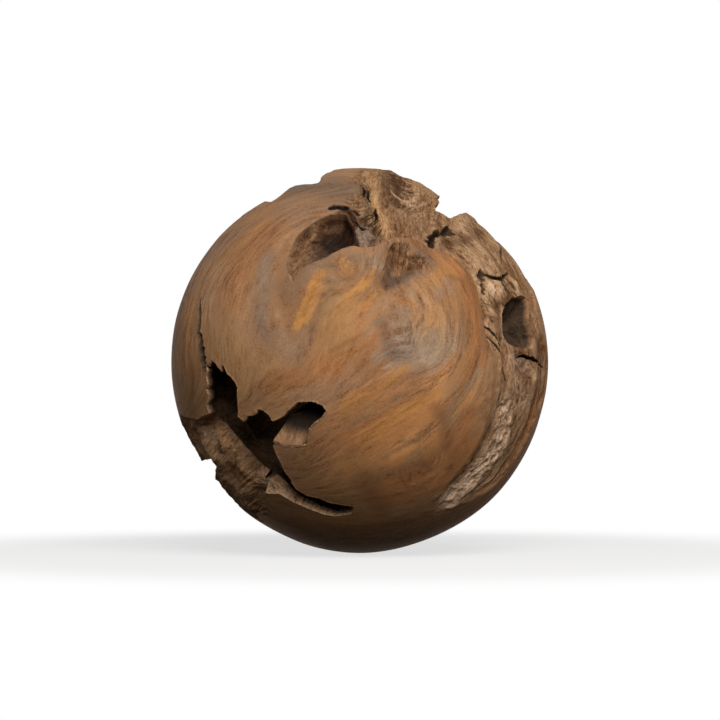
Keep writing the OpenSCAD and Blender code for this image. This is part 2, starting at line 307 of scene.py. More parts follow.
def ring_surface(rings: Array, made: Union[Made, Array], flat_ends: bool = False) -> Surface:
    """A closed surface through rings of points, with a cap at each end.

    Args:
        rings: (stations, around, 3) in mm.
        made: what made all of its faces, those along each line, or each face of the bands
            between the rings.
        flat_ends: each cap is one face if true, a fan from its middle if not.
    Returns:
        The closed surface.
    """
    stations, around = rings.shape[:2]
    made = np.broadcast_to(made, (stations - 1, around))
    i, j = np.meshgrid(np.arange(stations - 1), np.arange(around), indexing="ij")
    k = (j + 1) % around
    low, high = i * around, (i + 1) * around
    sides = np.stack([low + j, low + k, high + k, high + j], -1)
    points, faces, tags = [rings.reshape(-1, 3)], sides.reshape(-1, 4).tolist(), [made.reshape(-1)]
    for end, first in ((0, True), (stations - 1, False)):
        ring = np.arange(around) + end * around
        ring = ring[::-1] if first else ring
        if flat_ends:
            caps = [ring.tolist()]
        else:
            middle = sum(len(p) for p in points)
            points.append(rings[end].mean(0)[None])
            caps = np.stack([np.full(around, middle), ring, np.roll(ring, -1)], 1).tolist()
        faces += caps
        tags.append(np.full(len(caps), made[0 if first else -1].max()))
    return Surface(np.concatenate(points), faces, np.concatenate(tags))


# ---- grain ----


@dataclass
class GrainField:
    """How far across the grain each place lies, so that its level lines run along the fibres.

    The distance is a sum of round bells at places along listed strokes plus a straight rise,
    fitted so that it stays level along each stroke and grows by one mm a mm across it.
    """

    strokes: Sequence[Sequence[Sequence[float]]]
    width: float = 0.42  # of a bell, as a share of the ball's radius
    whorls: Sequence[tuple[float, float, float, float]] = ()  # round, up, radius in mm, open side
    spacing: float = 18.0  # mm between the bells along a stroke
    rise_weight: float = 0.35  # of the rise across a stroke, against its level
    damping: float = 0.02  # holds the bells small where nothing asks for them
    whorl_share: float = 0.55  # of a whorl's own rings in its middle
    whorl_wobble: float = 5.0  # mm
    wobble_length: float = 13.0  # mm
    middles: Array = field(init=False)
    weights: Array = field(init=False)

    def __post_init__(self) -> None:
        """Fits the bells' weights by least squares."""
        spots, ways = [], []
        for stroke in self.strokes:
            knots = towards(np.array(stroke)) * RADIUS
            rows = unit(along_knots(knots, self.spacing, smooth=False))
            middle = unit((rows[1:] + rows[:-1]) / 2)
            way = rows[1:] - rows[:-1]
            spots.append(middle)
            ways.append(unit(way - middle * (way * middle).sum(-1, keepdims=True)))
        self.middles, way = np.concatenate(spots), np.concatenate(ways)
        side = np.cross(self.middles, way)
        gap = self.middles[:, None] - self.middles[None]
        bell = np.exp(-(gap**2).sum(-1) / self.width**2)
        slope = -2.0 * gap / self.width**2 * bell[..., None]
        count = len(self.middles)
        level = np.concatenate([np.einsum("ijk,ik->ij", slope, way), way], 1)
        steady = np.concatenate([np.einsum("ijk,ik->ij", slope, side), side], 1) * self.rise_weight
        small = np.concatenate([np.eye(count) * self.damping, np.zeros((count, 3))], 1)
        wanted = np.repeat([0.0, self.rise_weight, 0.0], count)
        rules = np.concatenate([level, steady, small])
        self.weights = np.linalg.lstsq(rules, wanted, rcond=None)[0]

    def laid(self, directions: Array) -> Array:
        """Distance across the grain without the whorls.

        Args:
            directions: unit vectors, in the last axis.
        Returns:
            One distance a direction, in mm.
        """
        total = directions @ self.weights[-3:]
        for middle, weight in zip(self.middles, self.weights[:-3]):
            total = total + weight * np.exp(-((directions - middle) ** 2).sum(-1) / self.width**2)
        return total * RADIUS

    def across(self, directions: Array) -> Array:
        """Distance across the grain in mm at each direction.

        In a whorl the fibres are nested arcs that open to one side: the distance from its middle,
        less what lies ahead on the open side.

        Args:
            directions: unit vectors, in the last axis.
        Returns:
            One distance a direction.
        """
        total = self.laid(directions)
        for turn, up, radius, side in self.whorls:
            middle = towards(np.array([turn, up]))
            right = towards(np.array([turn + 90.0, 0.0]))
            side = math.radians(side)
            offset = (directions - middle) * RADIUS
            ahead = offset @ (right * math.cos(side) + np.cross(right, -middle) * math.sin(side))
            away = np.linalg.norm(offset, axis=-1)
            nested = np.sqrt(np.maximum(away**2 - np.maximum(ahead, 0.0) ** 2, 0.0))
            rings = NOISE.layered(directions * RADIUS / self.wobble_length + turn, 3)
            wobble = self.whorl_wobble * rings
            share = self.whorl_share * np.exp(-((away / radius) ** 2))
            total = mix(total, self.laid(middle[None])[0] + nested + wobble, share)
        return total


WHORLS = ((-4.2, 28.0, 12.0, 90.0), (19.2, 6.0, 16.0, 60.0), (21.1, -35.6, 14.0, -20.0))

SANDED_STROKES = (
    ((-74, -11), (-72, 4), (-78, 19), (-87, 34), (-86, 48), (-68, 56)),
    ((-62, -8), (-62, 7), (-64, 22), (-62, 36), (-53, 47), (-41, 58), (-18, 65)),
    ((-49, 1), (-53, 13), (-55, 25), (-50, 36), (-41, 47), (-26, 54), (-8, 57)),
    ((-38, -8), (-41, 4), (-43, 16), (-41, 27), (-36, 37)),
    ((-30, 1), (-32, 9), (-32, 18), (-32, 29), (-30, 35)),
    ((-22, 5), (-24, 12), (-24, 19), (-23, 25)),
    ((-18, 9), (-16, 16), (-14, 21), (-11, 27), (-7, 32)),
    ((-12, 5), (-9, 12), (-4, 18), (0, 24), (4, 31)),
    ((-6, 3), (0, 10), (7, 17), (11, 20)),
    ((-35, -11), (-27, -9), (-18, -8), (-9, -5), (0, 3), (9, 9)),
    ((-10, -13), (-3, -9), (6, -4), (15, 1), (19, 5)),
    ((-11, -19), (-1, -15), (9, -8), (18, -3), (26, 4), (29, 11), (28, 18), (25, 25)),
    ((-21, -33), (-11, -26), (0, -19), (12, -12), (23, -5), (30, 2), (33, 11), (34, 20), (32, 28)),
    ((-7, -33), (3, -25), (14, -19), (25, -11), (32, -3), (37, 7), (38, 17), (38, 25), (34, 32)),
    ((11, -37), (20, -28), (28, -20), (34, -11), (39, -2), (40, 5)),
    ((29, -41), (33, -32), (37, -22), (41, -13), (44, -4), (46, 5)),
    ((-31, -45), (-17, -47), (-4, -49), (11, -47), (26, -45), (40, -43), (52, -38), (59, -29),
     (64, -18), (70, -7)),
    ((-51, -53), (-31, -59), (-6, -62), (21, -59), (38, -53), (54, -47), (65, -39), (69, -27),
     (73, -14)),
    ((-65, -70), (-11, -75), (42, -72), (58, -60)),
    ((-110, -30), (-105, 0), (-112, 30), (-125, 50)),
    ((-150, -35), (-145, 0), (-152, 35)),
    ((170, -30), (172, 5), (165, 40)),
    ((130, -40), (132, 0), (125, 35)),
    ((95, -30), (98, 0), (95, 30)),
)

RAW_STROKES = (
    ((2, 72), (3, 54), (5, 39)),
    ((58, 85), (11, 57), (11, 42)),
    ((74, 80), (19, 54), (18, 42)),
    ((52, 69), (28, 53), (25, 41)),
    ((57, 65), (35, 50), (31, 39)),
    ((-2, 49), (-9, 46), (-16, 40), (-22, 34), (-24, 29)),
    ((-1, 42), (-8, 39), (-14, 35), (-19, 30)),
    ((37, 46), (39, 39), (44, 31), (47, 24), (48, 17)),
    ((46, 48), (52, 41), (57, 33), (60, 24), (60, 17)),
    ((62, 50), (65, 40), (68, 31), (69, 21), (70, 13)),
    ((46, 22), (46, 13), (48, 5), (48, -3), (47, -11)),
    ((54, 22), (53, 12), (54, 3), (55, -5), (54, -14)),
    ((68, 10), (72, 3), (72, -4), (70, -11), (67, -20)),
    ((45, -11), (43, -19), (41, -27), (40, -37), (38, -44)),
    ((53, -12), (52, -20), (50, -28), (47, -36), (43, -42)),
    ((68, -14), (65, -22), (61, -30), (56, -37), (48, -42)),
    ((-29, -22), (-37, -27), (-48, -34), (-69, -41)),
    ((-39, -21), (-47, -26), (-58, -33)),
    ((-46, -19), (-56, -22), (-68, -26)),
    ((-35, -48), (-45, -46), (-51, -43), (-67, -46), (-74, -44)),
)


# ---- the sanded skin and the grown belt ----


# patches of the belt: half width in mm and the places that the patch runs along
CRUMBLY = (
    (12.0, ((54, -15.3), (57.5, -21), (56.5, -27), (53, -33.5), (47, -40), (42, -45))),
    (5.0, ((5, 69), (6, 62), (1, 46), (1, 39))),
    (7.0, ((-42, -41), (-32, -42), (-26, -47), (-16, -53), (-4, -53))),
    (7.0, ((50, 31), (49, 22), (64, 26))),
    (5.0, ((58, 1), (66, -2))),
    (6.0, ((51, 49), (40, 47), (33, 41))),
)

# raw wood off the belt, given the same way: beside the eye, and the curls in the knot
RAW_PATCHES = (
    (5.0, ((-6, 50), (-2.5, 45), (0.5, 40))),
    (8.5, ((15.5, 37), (14, 32), (20.5, 31.5))),
)


def crumbly(directions: Array) -> Array:
    """How crumbly the raw wood is at unit vectors: 1 along the patches, 0 away from them."""
    shares = [ease(1.5 - distance_to(directions, path) / width) for width, path in CRUMBLY]
    return np.max(shares, axis=0)


@dataclass
class RootSkin:
    """The outside of the ball before anything is cut: the round, its swells and the grown belt."""

    crown_rise: float = 4.5  # mm, as are the depths below it
    belly_rise: float = 2.0
    layer_rise: float = 2.0  # where the outer layers end
    lobe_roll: float = 4.5  # how far the lobe's edge rolls over
    belt_depth: float = 13.0  # at the foot of the lobe's edge
    belt_edge_depth: float = 3.5  # at the belt's far edge
    channel_depth: float = 5.5
    crevice: float = 4.0  # under the lobe's edge
    crevice_deg: float = 1.6  # its half width
    ripple_h: float = 1.7  # of the belt's ripples
    drop_deg: float = 2.2  # width of the drop at the lobe's edge
    rise_deg: float = 3.0  # width of the rise at the belt's far edge
    fade_deg: float = 12.0  # the same where the belt fades out of sight
    start_near: float = 118.0  # turn at which the belt starts, by the lobe
    start_far: float = 94.0  # the same at its far edge
    start_wander: float = 2.2  # degrees that its start wanders
    start_teeth: float = 1.5  # degrees that its small teeth stand out
    end_turn: float = -78.0  # turn at which it has faded out
    fray: float = 1.2  # degrees that its edges are frayed by
    strand_deg: float = 7.0  # length of the strands that run out of the lobe's lower edge
    roll_from: float = 0.7  # share of the way to the lobe's edge where it starts to roll
    folds: float = 0.35  # shares of the ripples' height
    billows: float = 1.1
    crumbs: float = 0.7
    uneven: float = 0.25  # mm that the whole outside goes up and down
    lobe_rows: int = 40  # of the grid, over each part that it crosses
    drop_rows: int = 5
    floor_rows: int = 58
    rise_rows: int = 6
    back_rows: int = 58
    belt_turns: tuple[float, float] = (-84.0, 124.0)
    column_deg: float = 0.88  # between the grid's columns over those turns
    back_columns: int = 90  # over the others
    # tables of a turn about the lobe and a value: degrees from its middle, or a share of a depth
    inner_edge: Sequence[tuple[float, float]] = (
        (-180, 42), (-110, 44), (-84, 55), (-76, 54), (-70, 49.5), (-62, 45), (-53, 40.7),
        (-45, 37), (-36, 33.5), (-28, 30.5), (-20, 28.6), (-12, 27), (-4, 25), (6, 24.7),
        (18, 25.6), (27, 27.3), (38, 30), (50, 31.6), (64, 31.5), (72, 30.5), (80, 33), (92, 33.5),
        (104, 30.5), (112, 30.5), (118, 32.5), (180, 42),
    )
    outer_edge: Sequence[tuple[float, float]] = (
        (-180, 82), (-110, 74), (-84, 61), (-62, 61), (-50, 63), (-36, 61), (-22, 62), (-12, 66),
        (-4, 69), (2, 57), (8, 53), (15, 56), (22, 64), (28, 78), (58, 80), (66, 80), (72, 75),
        (96, 76), (118, 76), (180, 82),
    )
    foot_share: Sequence[tuple[float, float]] = (
        (-76, 0), (-68, 0.14), (-30, 0.12), (-12, 0.14), (-2, 0.35), (8, 0.75), (20, 0.95), (40, 1),
        (66, 1.15), (92, 1), (104, 0.7), (118, 0.25),
    )
    edge_share: Sequence[tuple[float, float]] = (
        (-76, 0.2), (-68, 0.9), (-24, 0.9), (-10, 0.5), (4, 0.6), (14, 0.8), (26, 1), (60, 1),
        (70, 0.4), (80, 0),
    )
    channel_share: Sequence[tuple[float, float]] = (
        (-78, 0), (-68, 0.8), (-58, 1), (-20, 1), (-4, 0.8), (8, 0),
    )
    knobs: Sequence[tuple[float, float, float, float, float]] = (
        # round, up, half width across, half width along, rise
        (54.5, 24.8, 4.0, 5.5, 3.6),
        (71.0, 25.5, 4.0, 6.0, 2.6),
        (62.0, 46.5, 6.0, 8.0, 3.0),
        (52.0, 35.0, 6.0, 14.0, 1.6),
        (70.0, -5.0, 4.0, 6.0, 2.2),
        (50.0, 18.0, 5.0, 7.0, 2.0),
        (48.0, 6.0, 3.0, 12.0, 1.5),
        (55.0, -8.0, 4.0, 16.0, 1.4),
        (12.0, 62.0, 4.0, 16.0, 1.8),
        (26.0, 60.0, 5.0, 14.0, 1.6),
    )

    def table(self, turn: Array, rows: Sequence[tuple[float, float]]) -> Array:
        """A table's value at each turn with its corners rounded off over 8 degrees.

        Args:
            turn: turns about the lobe, in degrees.
            rows: the table, each row a turn and its value.
        Returns:
            One value a turn.
        """
        at, values = zip(*rows)
        near = [np.interp(turn + shift, at, values) for shift in (-4.0, 0.0, 4.0)]
        return (near[0] + 2.0 * near[1] + near[2]) / 4.0

    def swell(self, directions: Array) -> Array:
        """Rise of the crown and the underside: a bell of the angle from each one's middle.

        Args:
            directions: unit vectors, in the last axis.
        Returns:
            Rises in mm.
        """
        rise = np.zeros(directions.shape[:-1])
        for place, spread, height in (
            ((40, 88), 13, self.crown_rise), ((70, -45), 18, self.belly_rise),
            ((0, -88), 20, self.belly_rise), ((-100, 82), 6, self.layer_rise),
        ):
            off = np.degrees(np.arccos(np.clip(directions @ towards(np.array(place)), -1, 1)))
            rise += height * np.exp(-((off / spread) ** 2))
        return rise

    def belt_share(self, turn: Array, away: Array) -> Array:
        """Where the belt is: it starts in a ragged edge at the top and fades at the lower right.

        The start is a line between two turns plus slow noise and a wave of small teeth.

        Args:
            turn: turns about the lobe, in degrees.
            away: distances from the lobe's middle, in degrees.
        Returns:
            Shares, 1 on the belt and 0 off it.
        """
        slow = NOISE.layered(np.stack([away * 0.35, turn * 0.1, away * 0], -1), 3)
        teeth = self.start_teeth * np.sin(np.radians(away * 23))
        line = mix(self.start_near, self.start_far, (away - 32.0) / 42.0)
        start = line + teeth + self.start_wander * slow
        return ease((start - turn) / 5.0) * ease((turn - self.end_turn) / 8.0)

    def rise_width(self, turn: Array) -> Array:
        """Width of the rise at the belt's far edge: wide where the belt fades out of sight."""
        return mix(self.rise_deg, self.fade_deg, ease((turn - 18) / 8) * ease((100 - turn) / 8))

    def rawness(self, directions: Array) -> Array:
        """How raw the wood is: eased steps with frayed edges, over the belt and the raw patches.

        Args:
            directions: unit vectors, in the last axis.
        Returns:
            Shares, 1 on the belt and 0 on the sanded skin.
        """
        turn, away = lobe_places(directions)
        near, far = self.table(turn, self.inner_edge), self.table(turn, self.outer_edge)
        width = self.rise_width(turn)
        low = ease((0.0 - turn) / 14.0) * ease((turn + 60.0) / 14.0)
        strands = mix(1.2, self.strand_deg, low)
        fray = self.fray * NOISE.layered(directions * 26.0, 3)
        inside = ease((away - near - self.drop_deg * 0.4 + fray) / strands)
        outside = ease((far + width * 0.75 - away + fray) / 1.6)
        share = self.belt_share(turn, away) * inside * outside
        for half_width, path in RAW_PATCHES:
            patch = ease(1.6 - distance_to(directions, path) / half_width + 0.3 * fray)
            share = np.maximum(share, patch)
        return share

    def depth(self, turn: Array, away: Array) -> Array:
        """Depth of the outside below the round, before its relief.

        The lobe rolls over at its edge and drops to the belt's foot, with a crevice along it. The
        belt's floor is an eased step between the depths at its two edges plus a half wave, steeper
        on the lobe's side, for the channel's bed, and it ends in an eased rise.

        Args:
            turn: turns about the lobe, in degrees.
            away: distances from the lobe's middle, in degrees.
        Returns:
            Depths in mm.
        """
        near, far = self.table(turn, self.inner_edge), self.table(turn, self.outer_edge)
        foot = self.belt_depth * self.table(turn, self.foot_share)
        edge = self.belt_edge_depth * self.table(turn, self.edge_share)
        bed = self.channel_depth * self.table(turn, self.channel_share)
        roll = np.minimum(self.lobe_roll, foot * self.lobe_roll / self.belt_depth)
        share = np.clip((away - near - self.drop_deg) / (far - near - self.drop_deg), 0.0, 1.0)
        lobe = roll * ease((away / near - self.roll_from) / (1.0 - self.roll_from)) ** 1.5
        crevice = self.crevice * foot / self.belt_depth
        drop = mix(roll, foot + crevice, ease((away - near) / self.drop_deg))
        floor = mix(foot, edge, ease(share)) + bed * np.sin(np.pi * np.sqrt(share))
        floor = floor + crevice * np.exp(-(((away - near - self.drop_deg) / self.crevice_deg) ** 2))
        rise = edge * (1.0 - ease((away - far) / self.rise_width(turn)))
        belt = np.where(away < near + self.drop_deg, drop, np.where(away < far, floor, rise))
        return self.belt_share(turn, away) * np.where(away < near, lobe, belt)

    def smooth_radius(self, directions: Array) -> Array:
        """Radius of the outside without its relief, in mm."""
        return RADIUS + self.swell(directions) - self.depth(*lobe_places(directions))

    def rows(self, turn: Array) -> Array:
        """Distances of the grid's rows from the lobe's middle at each turn, in degrees.

        The rows run over the lobe, down the drop at its edge, over the belt's floor, up the rise
        at its far edge and on round the back, closer together where there is more to show.

        Args:
            turn: turns about the lobe, one row of them.
        Returns:
            Distances, a column for each turn.
        """
        near, far = self.table(turn, self.inner_edge), self.table(turn, self.outer_edge)
        width = self.rise_width(turn)
        lobe, drop, floor, rise, back = (
            np.linspace(0.0, 1.0, count + 1)[1:, None]
            for count in (self.lobe_rows, self.drop_rows, self.floor_rows, self.rise_rows,
                          self.back_rows + 1))
        lobe = 1.0 - (1.0 - lobe) ** 1.35
        back = back[:-1] ** 1.12
        return np.concatenate([
            near * lobe, near + self.drop_deg * drop, mix(near + self.drop_deg, far, floor),
            far + width * rise, mix(far + width, 180.0, back),
        ])

    def belt_relief(self, directions: Array, grain: Array) -> Array:
        """Height of the grown surface over its floor.

        Folds 8 mm wide and 34 mm long and billows 17 mm wide follow the grain, crumbs of 4.5 and
        2 mm lie on the crumbly patches, and each knob is a bell that is stretched along the grain.

        Args:
            directions: unit vectors.
            grain: how far across the raw grain each one lies, in mm.
        Returns:
            Heights in mm.
        """
        spots = directions * RADIUS
        folds = NOISE.ridged(fibre_space(spots, grain, 8.0, 34.0), 2) - 0.55
        billows = NOISE.layered(fibre_space(spots, grain, 17.0, 34.0) + 5.0, 2)
        crumbs = NOISE.layered(spots / 4.5 + 9.0, 2) + 0.4 * NOISE.at(spots / 2.0)
        crumbs = self.crumbs * crumbly(directions) * crumbs
        height = self.ripple_h * (self.folds * folds + self.billows * billows + crumbs)
        for turn, up, across_w, along_w, rise in self.knobs:
            offset = spots - RADIUS * towards(np.array([turn, up]))
            middle = grain.flat[np.argmin(np.linalg.norm(offset, axis=-1))]
            sideways = (grain - middle) / across_w
            lengthways = np.linalg.norm(offset, axis=-1) / along_w
            height += rise * np.exp(-(sideways**2) - lengthways**2)
        return height

    def surface(self, raw_grain: GrainField) -> Surface:
        """The skin as one closed grid about the lobe's middle.

        Args:
            raw_grain: the grain of the grown wood.
        Returns:
            The closed skin.
        """
        first, last = self.belt_turns
        rest = np.linspace(last, first + 360.0, self.back_columns, endpoint=False)
        turns = np.concatenate([np.arange(first, last, self.column_deg), rest])
        turn = np.where(turns > 180.0, turns - 360.0, turns)[None]
        away = self.rows(turn)
        directions = about_lobe(np.broadcast_to(turn, away.shape), away)
        relief = self.belt_relief(directions, raw_grain.across(directions))
        soft = self.uneven * NOISE.layered(directions * 4.0 + 3.0, 2)
        height = self.smooth_radius(directions) + self.rawness(directions) * relief + soft
        rows = height[..., None] * directions
        skin = ring_surface(rows, Made.SKIN)
        skin.points[-2] = LOBE_OUT * RADIUS
        skin.points[-1] = -LOBE_OUT * RADIUS
        return skin


# ---- what is cut out of the skin ----


@dataclass
class Root:
    """The root that every opening is cut in: its outside and the run of its fibres."""

    skin: RootSkin
    sanded: GrainField
    raw: GrainField

    def outside(self, directions: Array) -> Array:
        """Radius of the smooth outside at unit vectors, with one axis more for scaling them."""
        return self.skin.smooth_radius(directions)[..., None]

    def roughness(self, spots: Array) -> Array:
        """Torn wood: ridges along the raw fibres, with lumps and crumbs.

        The ridges are 3.4 mm wide and 22 mm long, the lumps 9 mm and the crumbs 2.6 mm.

        Args:
            spots: places in mm, in the last axis.
        Returns:
            Heights between about -1.5 and 1.5, with one axis more for scaling vectors.
        """
        grain = self.raw.across(unit(spots))
        fibres = NOISE.ridged(fibre_space(spots, grain, 3.4, 22.0), 2) - 0.55
        lumps = NOISE.layered(spots / 9.0, 2) + 0.5 * NOISE.at(spots / 2.6)
        return (1.1 * fibres + 0.55 * lumps)[..., None]


class Opening(Protocol):
    """Anything that can be cut out of the ball."""

    def surface(self, root: Root) -> Surface:
        """The opening's closed wall."""


@dataclass
class Burrow:
    """A rounded hollow along a curve of middles, under a ceiling that follows the round.

    The wall is a circle carried along the curve, with half-round ends, roughened by torn wood.
    The ceiling wavers by 0.8 mm over lengths of 9 mm.
    """

    path: Sequence[tuple[float, float, float, float]]  # round, up, depth of the middle, radius
    ceiling: Optional[float] = None
    rough: float = 1.5
    step: float = 3.2
    around: int = 52
    end_rings: int = 8
    made: Made = Made.RAW
    end_bend: tuple[float, float] = (86.0, 10.0)  # of an end's outer and inner ring, in degrees
    smooth_below: float = 6.0  # narrower ends are less rough

    def surface(self, root: Root) -> Surface:
        """The burrow's closed wall.

        Args:
            root: the root that it is cut in.
        Returns:
            The wall.
        """
        knots = np.array(self.path, float)
        spots = (RADIUS - knots[:, 2:3]) * towards(knots[:, :2])
        rows = along_knots(np.concatenate([spots, knots[:, 3:]], 1), self.step)
        way = unit(np.gradient(rows[:, :3], axis=0))
        side = unit(np.cross(way, rows[:, :3]))
        over = np.cross(side, way)
        bend = np.radians(np.linspace(*self.end_bend, self.end_rings))[:, None]
        start, end = rows[0, 3], rows[-1, 3]
        middle = np.concatenate([rows[0, :3] - way[0] * start * np.sin(bend), rows[:, :3],
                                 rows[-1, :3] + way[-1] * end * np.sin(bend[::-1])])[:, None]
        width = np.concatenate([start * np.cos(bend), rows[:, 3:],
                                end * np.cos(bend[::-1])])[:, None]
        repeats = np.ones(len(rows), int)
        repeats[[0, -1]] += self.end_rings
        side, over = (np.repeat(v, repeats, 0)[:, None] for v in (side, over))
        angle = np.linspace(0.0, 2.0 * np.pi, self.around, endpoint=False)[None, :, None]
        outwards = side * np.cos(angle) + over * np.sin(angle)
        wall = middle + width * outwards
        rough = self.rough * np.minimum(1.0, width / self.smooth_below)
        wall = wall + outwards * rough * root.roughness(wall)
        if self.ceiling is not None:
            reach = np.linalg.norm(wall, axis=-1, keepdims=True)
            limit = RADIUS - self.ceiling + 0.8 * NOISE.layered(wall / 9.0, 2)[..., None]
            wall = wall * np.minimum(1.0, limit / reach)
        return ring_surface(wall, self.made)


@dataclass
class Crack:
    """A ragged crack along a path: a wedge whose two lips wander on their own.

    Each ring goes down one lip to the root and up the other. The width and the depth follow the
    path, the depth is measured from the outside, and the ends pinch shut.
    """

    path: Sequence[tuple[float, float, float, float]]  # round, up, width, depth
    ragged: float = 0.4
    step: float = 1.2
    # a crack's inside is painted dark, a painted shade
    made: Made = Made.CAVE
    pinched: float = 0.35  # what is left of the width at the ends
    tear_mm: float = 2.6  # how long the lips' tears are
    # a lip down to the root: share of the half width, depth in mm, share of the depth
    profile: Sequence[tuple[float, float, float]] = (
        (1.5, -CLEAR, 0.0), (1.3, 0.0, 0.0), (1.0, 0.8, 0.0), (0.9, 1.0, 0.4),
        (0.55, 1.0, 0.8), (0.0, 1.0, 1.0),
    )

    def surface(self, root: Root) -> Surface:
        """The crack's closed wall.

        Args:
            root: the root that it is cut in.
        Returns:
            The wall.
        """
        knots = np.array(self.path, float)
        spots = towards(knots[:, :2]) * RADIUS
        rows = along_knots(np.concatenate([spots, knots[:, 2:]], 1), self.step, smooth=False)
        way = unit(np.gradient(rows[:, :3], axis=0))
        out = unit(rows[:, :3])
        side = unit(np.cross(way, out))
        room = np.minimum(np.arange(len(rows)), np.arange(len(rows))[::-1]) * self.step
        pinch = mix(self.pinched, 1.0, ease((room + 0.4) / (rows[:, 3] * 0.7)))
        width, depth = rows[:, 3] * pinch, rows[:, 4] * mix(0.5, 1.0, pinch)
        outside = root.skin.smooth_radius(out)
        rings = []
        for sense, lip in ((1.0, self.profile), (-1.0, self.profile[-2::-1])):
            for lateral, lift, share in lip:
                tear = NOISE.layered(rows[:, :3] / self.tear_mm + sense * 31.0 + share, 3)
                shift = 0.5 * sense * lateral * width * (1.0 + self.ragged * tear)
                deep = share * depth if share > 0.0 else lift
                rings.append(out * (outside - deep)[:, None] + side * shift[:, None])
        return ring_surface(np.stack(rings, 1), self.made)


@dataclass
class Pocket:
    """A pocket with a ragged outline and a rounded floor, deepest at one place.

    Rings shrink from the outline to the deepest place. Under a soft lip the floor is an eased
    slope. Under a sharp one half of it is a wall, one less an exponential of the way in, and a
    bell near the rim undercuts the lip.
    """

    outline: Sequence[tuple[float, float]]
    deepest: tuple[float, float]
    depth: float
    sharp: Sequence[tuple[float, float]]  # place in the outline from 0 to 1, sharpness 0 to 1
    rough: float = 0.9
    step: float = 1.2
    lip: float = 0.9  # mm, rounded off
    torn: float = 0.45  # mm that the rim is torn by
    undercut: float = 1.8  # mm under a sharp lip
    rings: int = 22
    made: Made = Made.RAW
    tear_mm: float = 2.6  # how long the rim's tears are
    # shares of the way from the rim to the deepest place
    wall_end: float = 0.05  # where a sharp lip's wall has fallen most of its way
    under_at: float = 0.14
    under_spread: float = 0.12

    def surface(self, root: Root) -> Surface:
        """The pocket's closed wall.

        Args:
            root: the root that it is cut in.
        Returns:
            The wall.
        """
        knots = towards(np.array([*self.outline, self.outline[0]])) * RADIUS
        rim = unit(along_knots(knots, self.step)[:-1])
        middle = towards(np.array(self.deepest))
        inwards = unit(middle - rim)
        tear = self.torn * NOISE.layered(rim * RADIUS / self.tear_mm, 3)
        rim = unit(rim * RADIUS + inwards * tear[:, None])
        sharp = np.interp(np.arange(len(rim)) / len(rim), *zip(*self.sharp))[:, None]
        outside, bottom = root.outside(rim), root.outside(middle)
        rows = [(outside + CLEAR) * unit(rim * RADIUS - inwards * (self.lip + 1.6)),
                outside * unit(rim * RADIUS - inwards * self.lip), (outside - self.lip) * rim]
        for share in np.linspace(0.0, 1.0, self.rings)[1:-1]:
            slope = ease(share * 1.12)
            wall = 1.0 - np.exp(-share / self.wall_end)
            deep = self.lip + (self.depth - self.lip) * mix(slope, 0.5 * wall + 0.5 * slope, sharp)
            bell = np.exp(-(((share - self.under_at) / self.under_spread) ** 2))
            under = self.undercut * sharp * bell
            spot = unit(mix(rim, middle, share * 0.98) * RADIUS - inwards * under)
            torn = self.rough * min(1.0, share * 6.0) * root.roughness(spot * RADIUS)
            rows.append((mix(outside, bottom, share) - deep - torn) * spot)
        made = np.full((len(rows) - 1, len(rim)), self.made)
        made[1] = Made.SKIN
        return ring_surface(np.stack(rows), made)


@dataclass
class Mouth:
    """The torn mouth of the root hollow: its outline carried down through the outer wood.

    The first rings round the lip off, the next go in towards the ball's middle, and the last go
    straight back, so that the wall turns out of sight under the lip.
    """

    outline: Sequence[tuple[float, float]]
    lip: float = 0.9
    torn: float = 0.55

    def surface(self, root: Root) -> Surface:
        """The mouth's closed wall.

        Args:
            root: the root that it is cut in; not used.
        Returns:
            The wall.
        """
        knots = towards(np.array([*self.outline, self.outline[0]])) * RADIUS
        rim = unit(along_knots(knots, 1.2, smooth=False)[:-1])
        tangent = unit(np.roll(rim, -2, 0) - np.roll(rim, 2, 0))
        spokes = rim - rim.mean(0)
        turning = np.einsum("ij,ij->", np.cross(spokes, np.roll(spokes, -1, 0)), rim)
        out = np.cross(tangent, rim) * np.sign(turning)
        tear = self.torn * NOISE.layered(rim * RADIUS / 2.4, 3) + 0.3 * NOISE.at(rim * RADIUS / 1.1)
        rim = unit(rim * RADIUS + out * tear[:, None])
        # depth, way back and spread in mm
        steps = ((-5.0, 0.0, self.lip + 1.1), (0.0, 0.0, self.lip), (self.lip, 0.0, 0.0),
                 (2.4, 0.0, -0.1), (4.2, 0.5, 0.0), (5.2, 3.0, 0.5), (5.8, 6.0, 1.0),
                 (6.6, 10.0, 1.6), (7.4, 15.0, 2.2), (8.4, 22.0, 2.4), (9.4, 30.0, 2.0))
        rings = []
        for deep, back, spread in steps:
            ring = (RADIUS - deep) * unit(rim * RADIUS + out * spread) + np.array([0.0, back, 0.0])
            if deep > self.lip:
                ring = ring + out * (0.5 * NOISE.layered(ring / 3.5, 3))[:, None]
            rings.append(ring)
        made = np.full((len(rings) - 1, len(rim)), Made.RAW)
        # the rounded lip is pale, rubbed and partly a painted highlight; the wall inside is painted
        # dark as shade
        made[1], made[2:] = Made.WORN_AND_HIGHLIT, Made.CAVE
        return ring_surface(np.stack(rings), made, flat_ends=True)


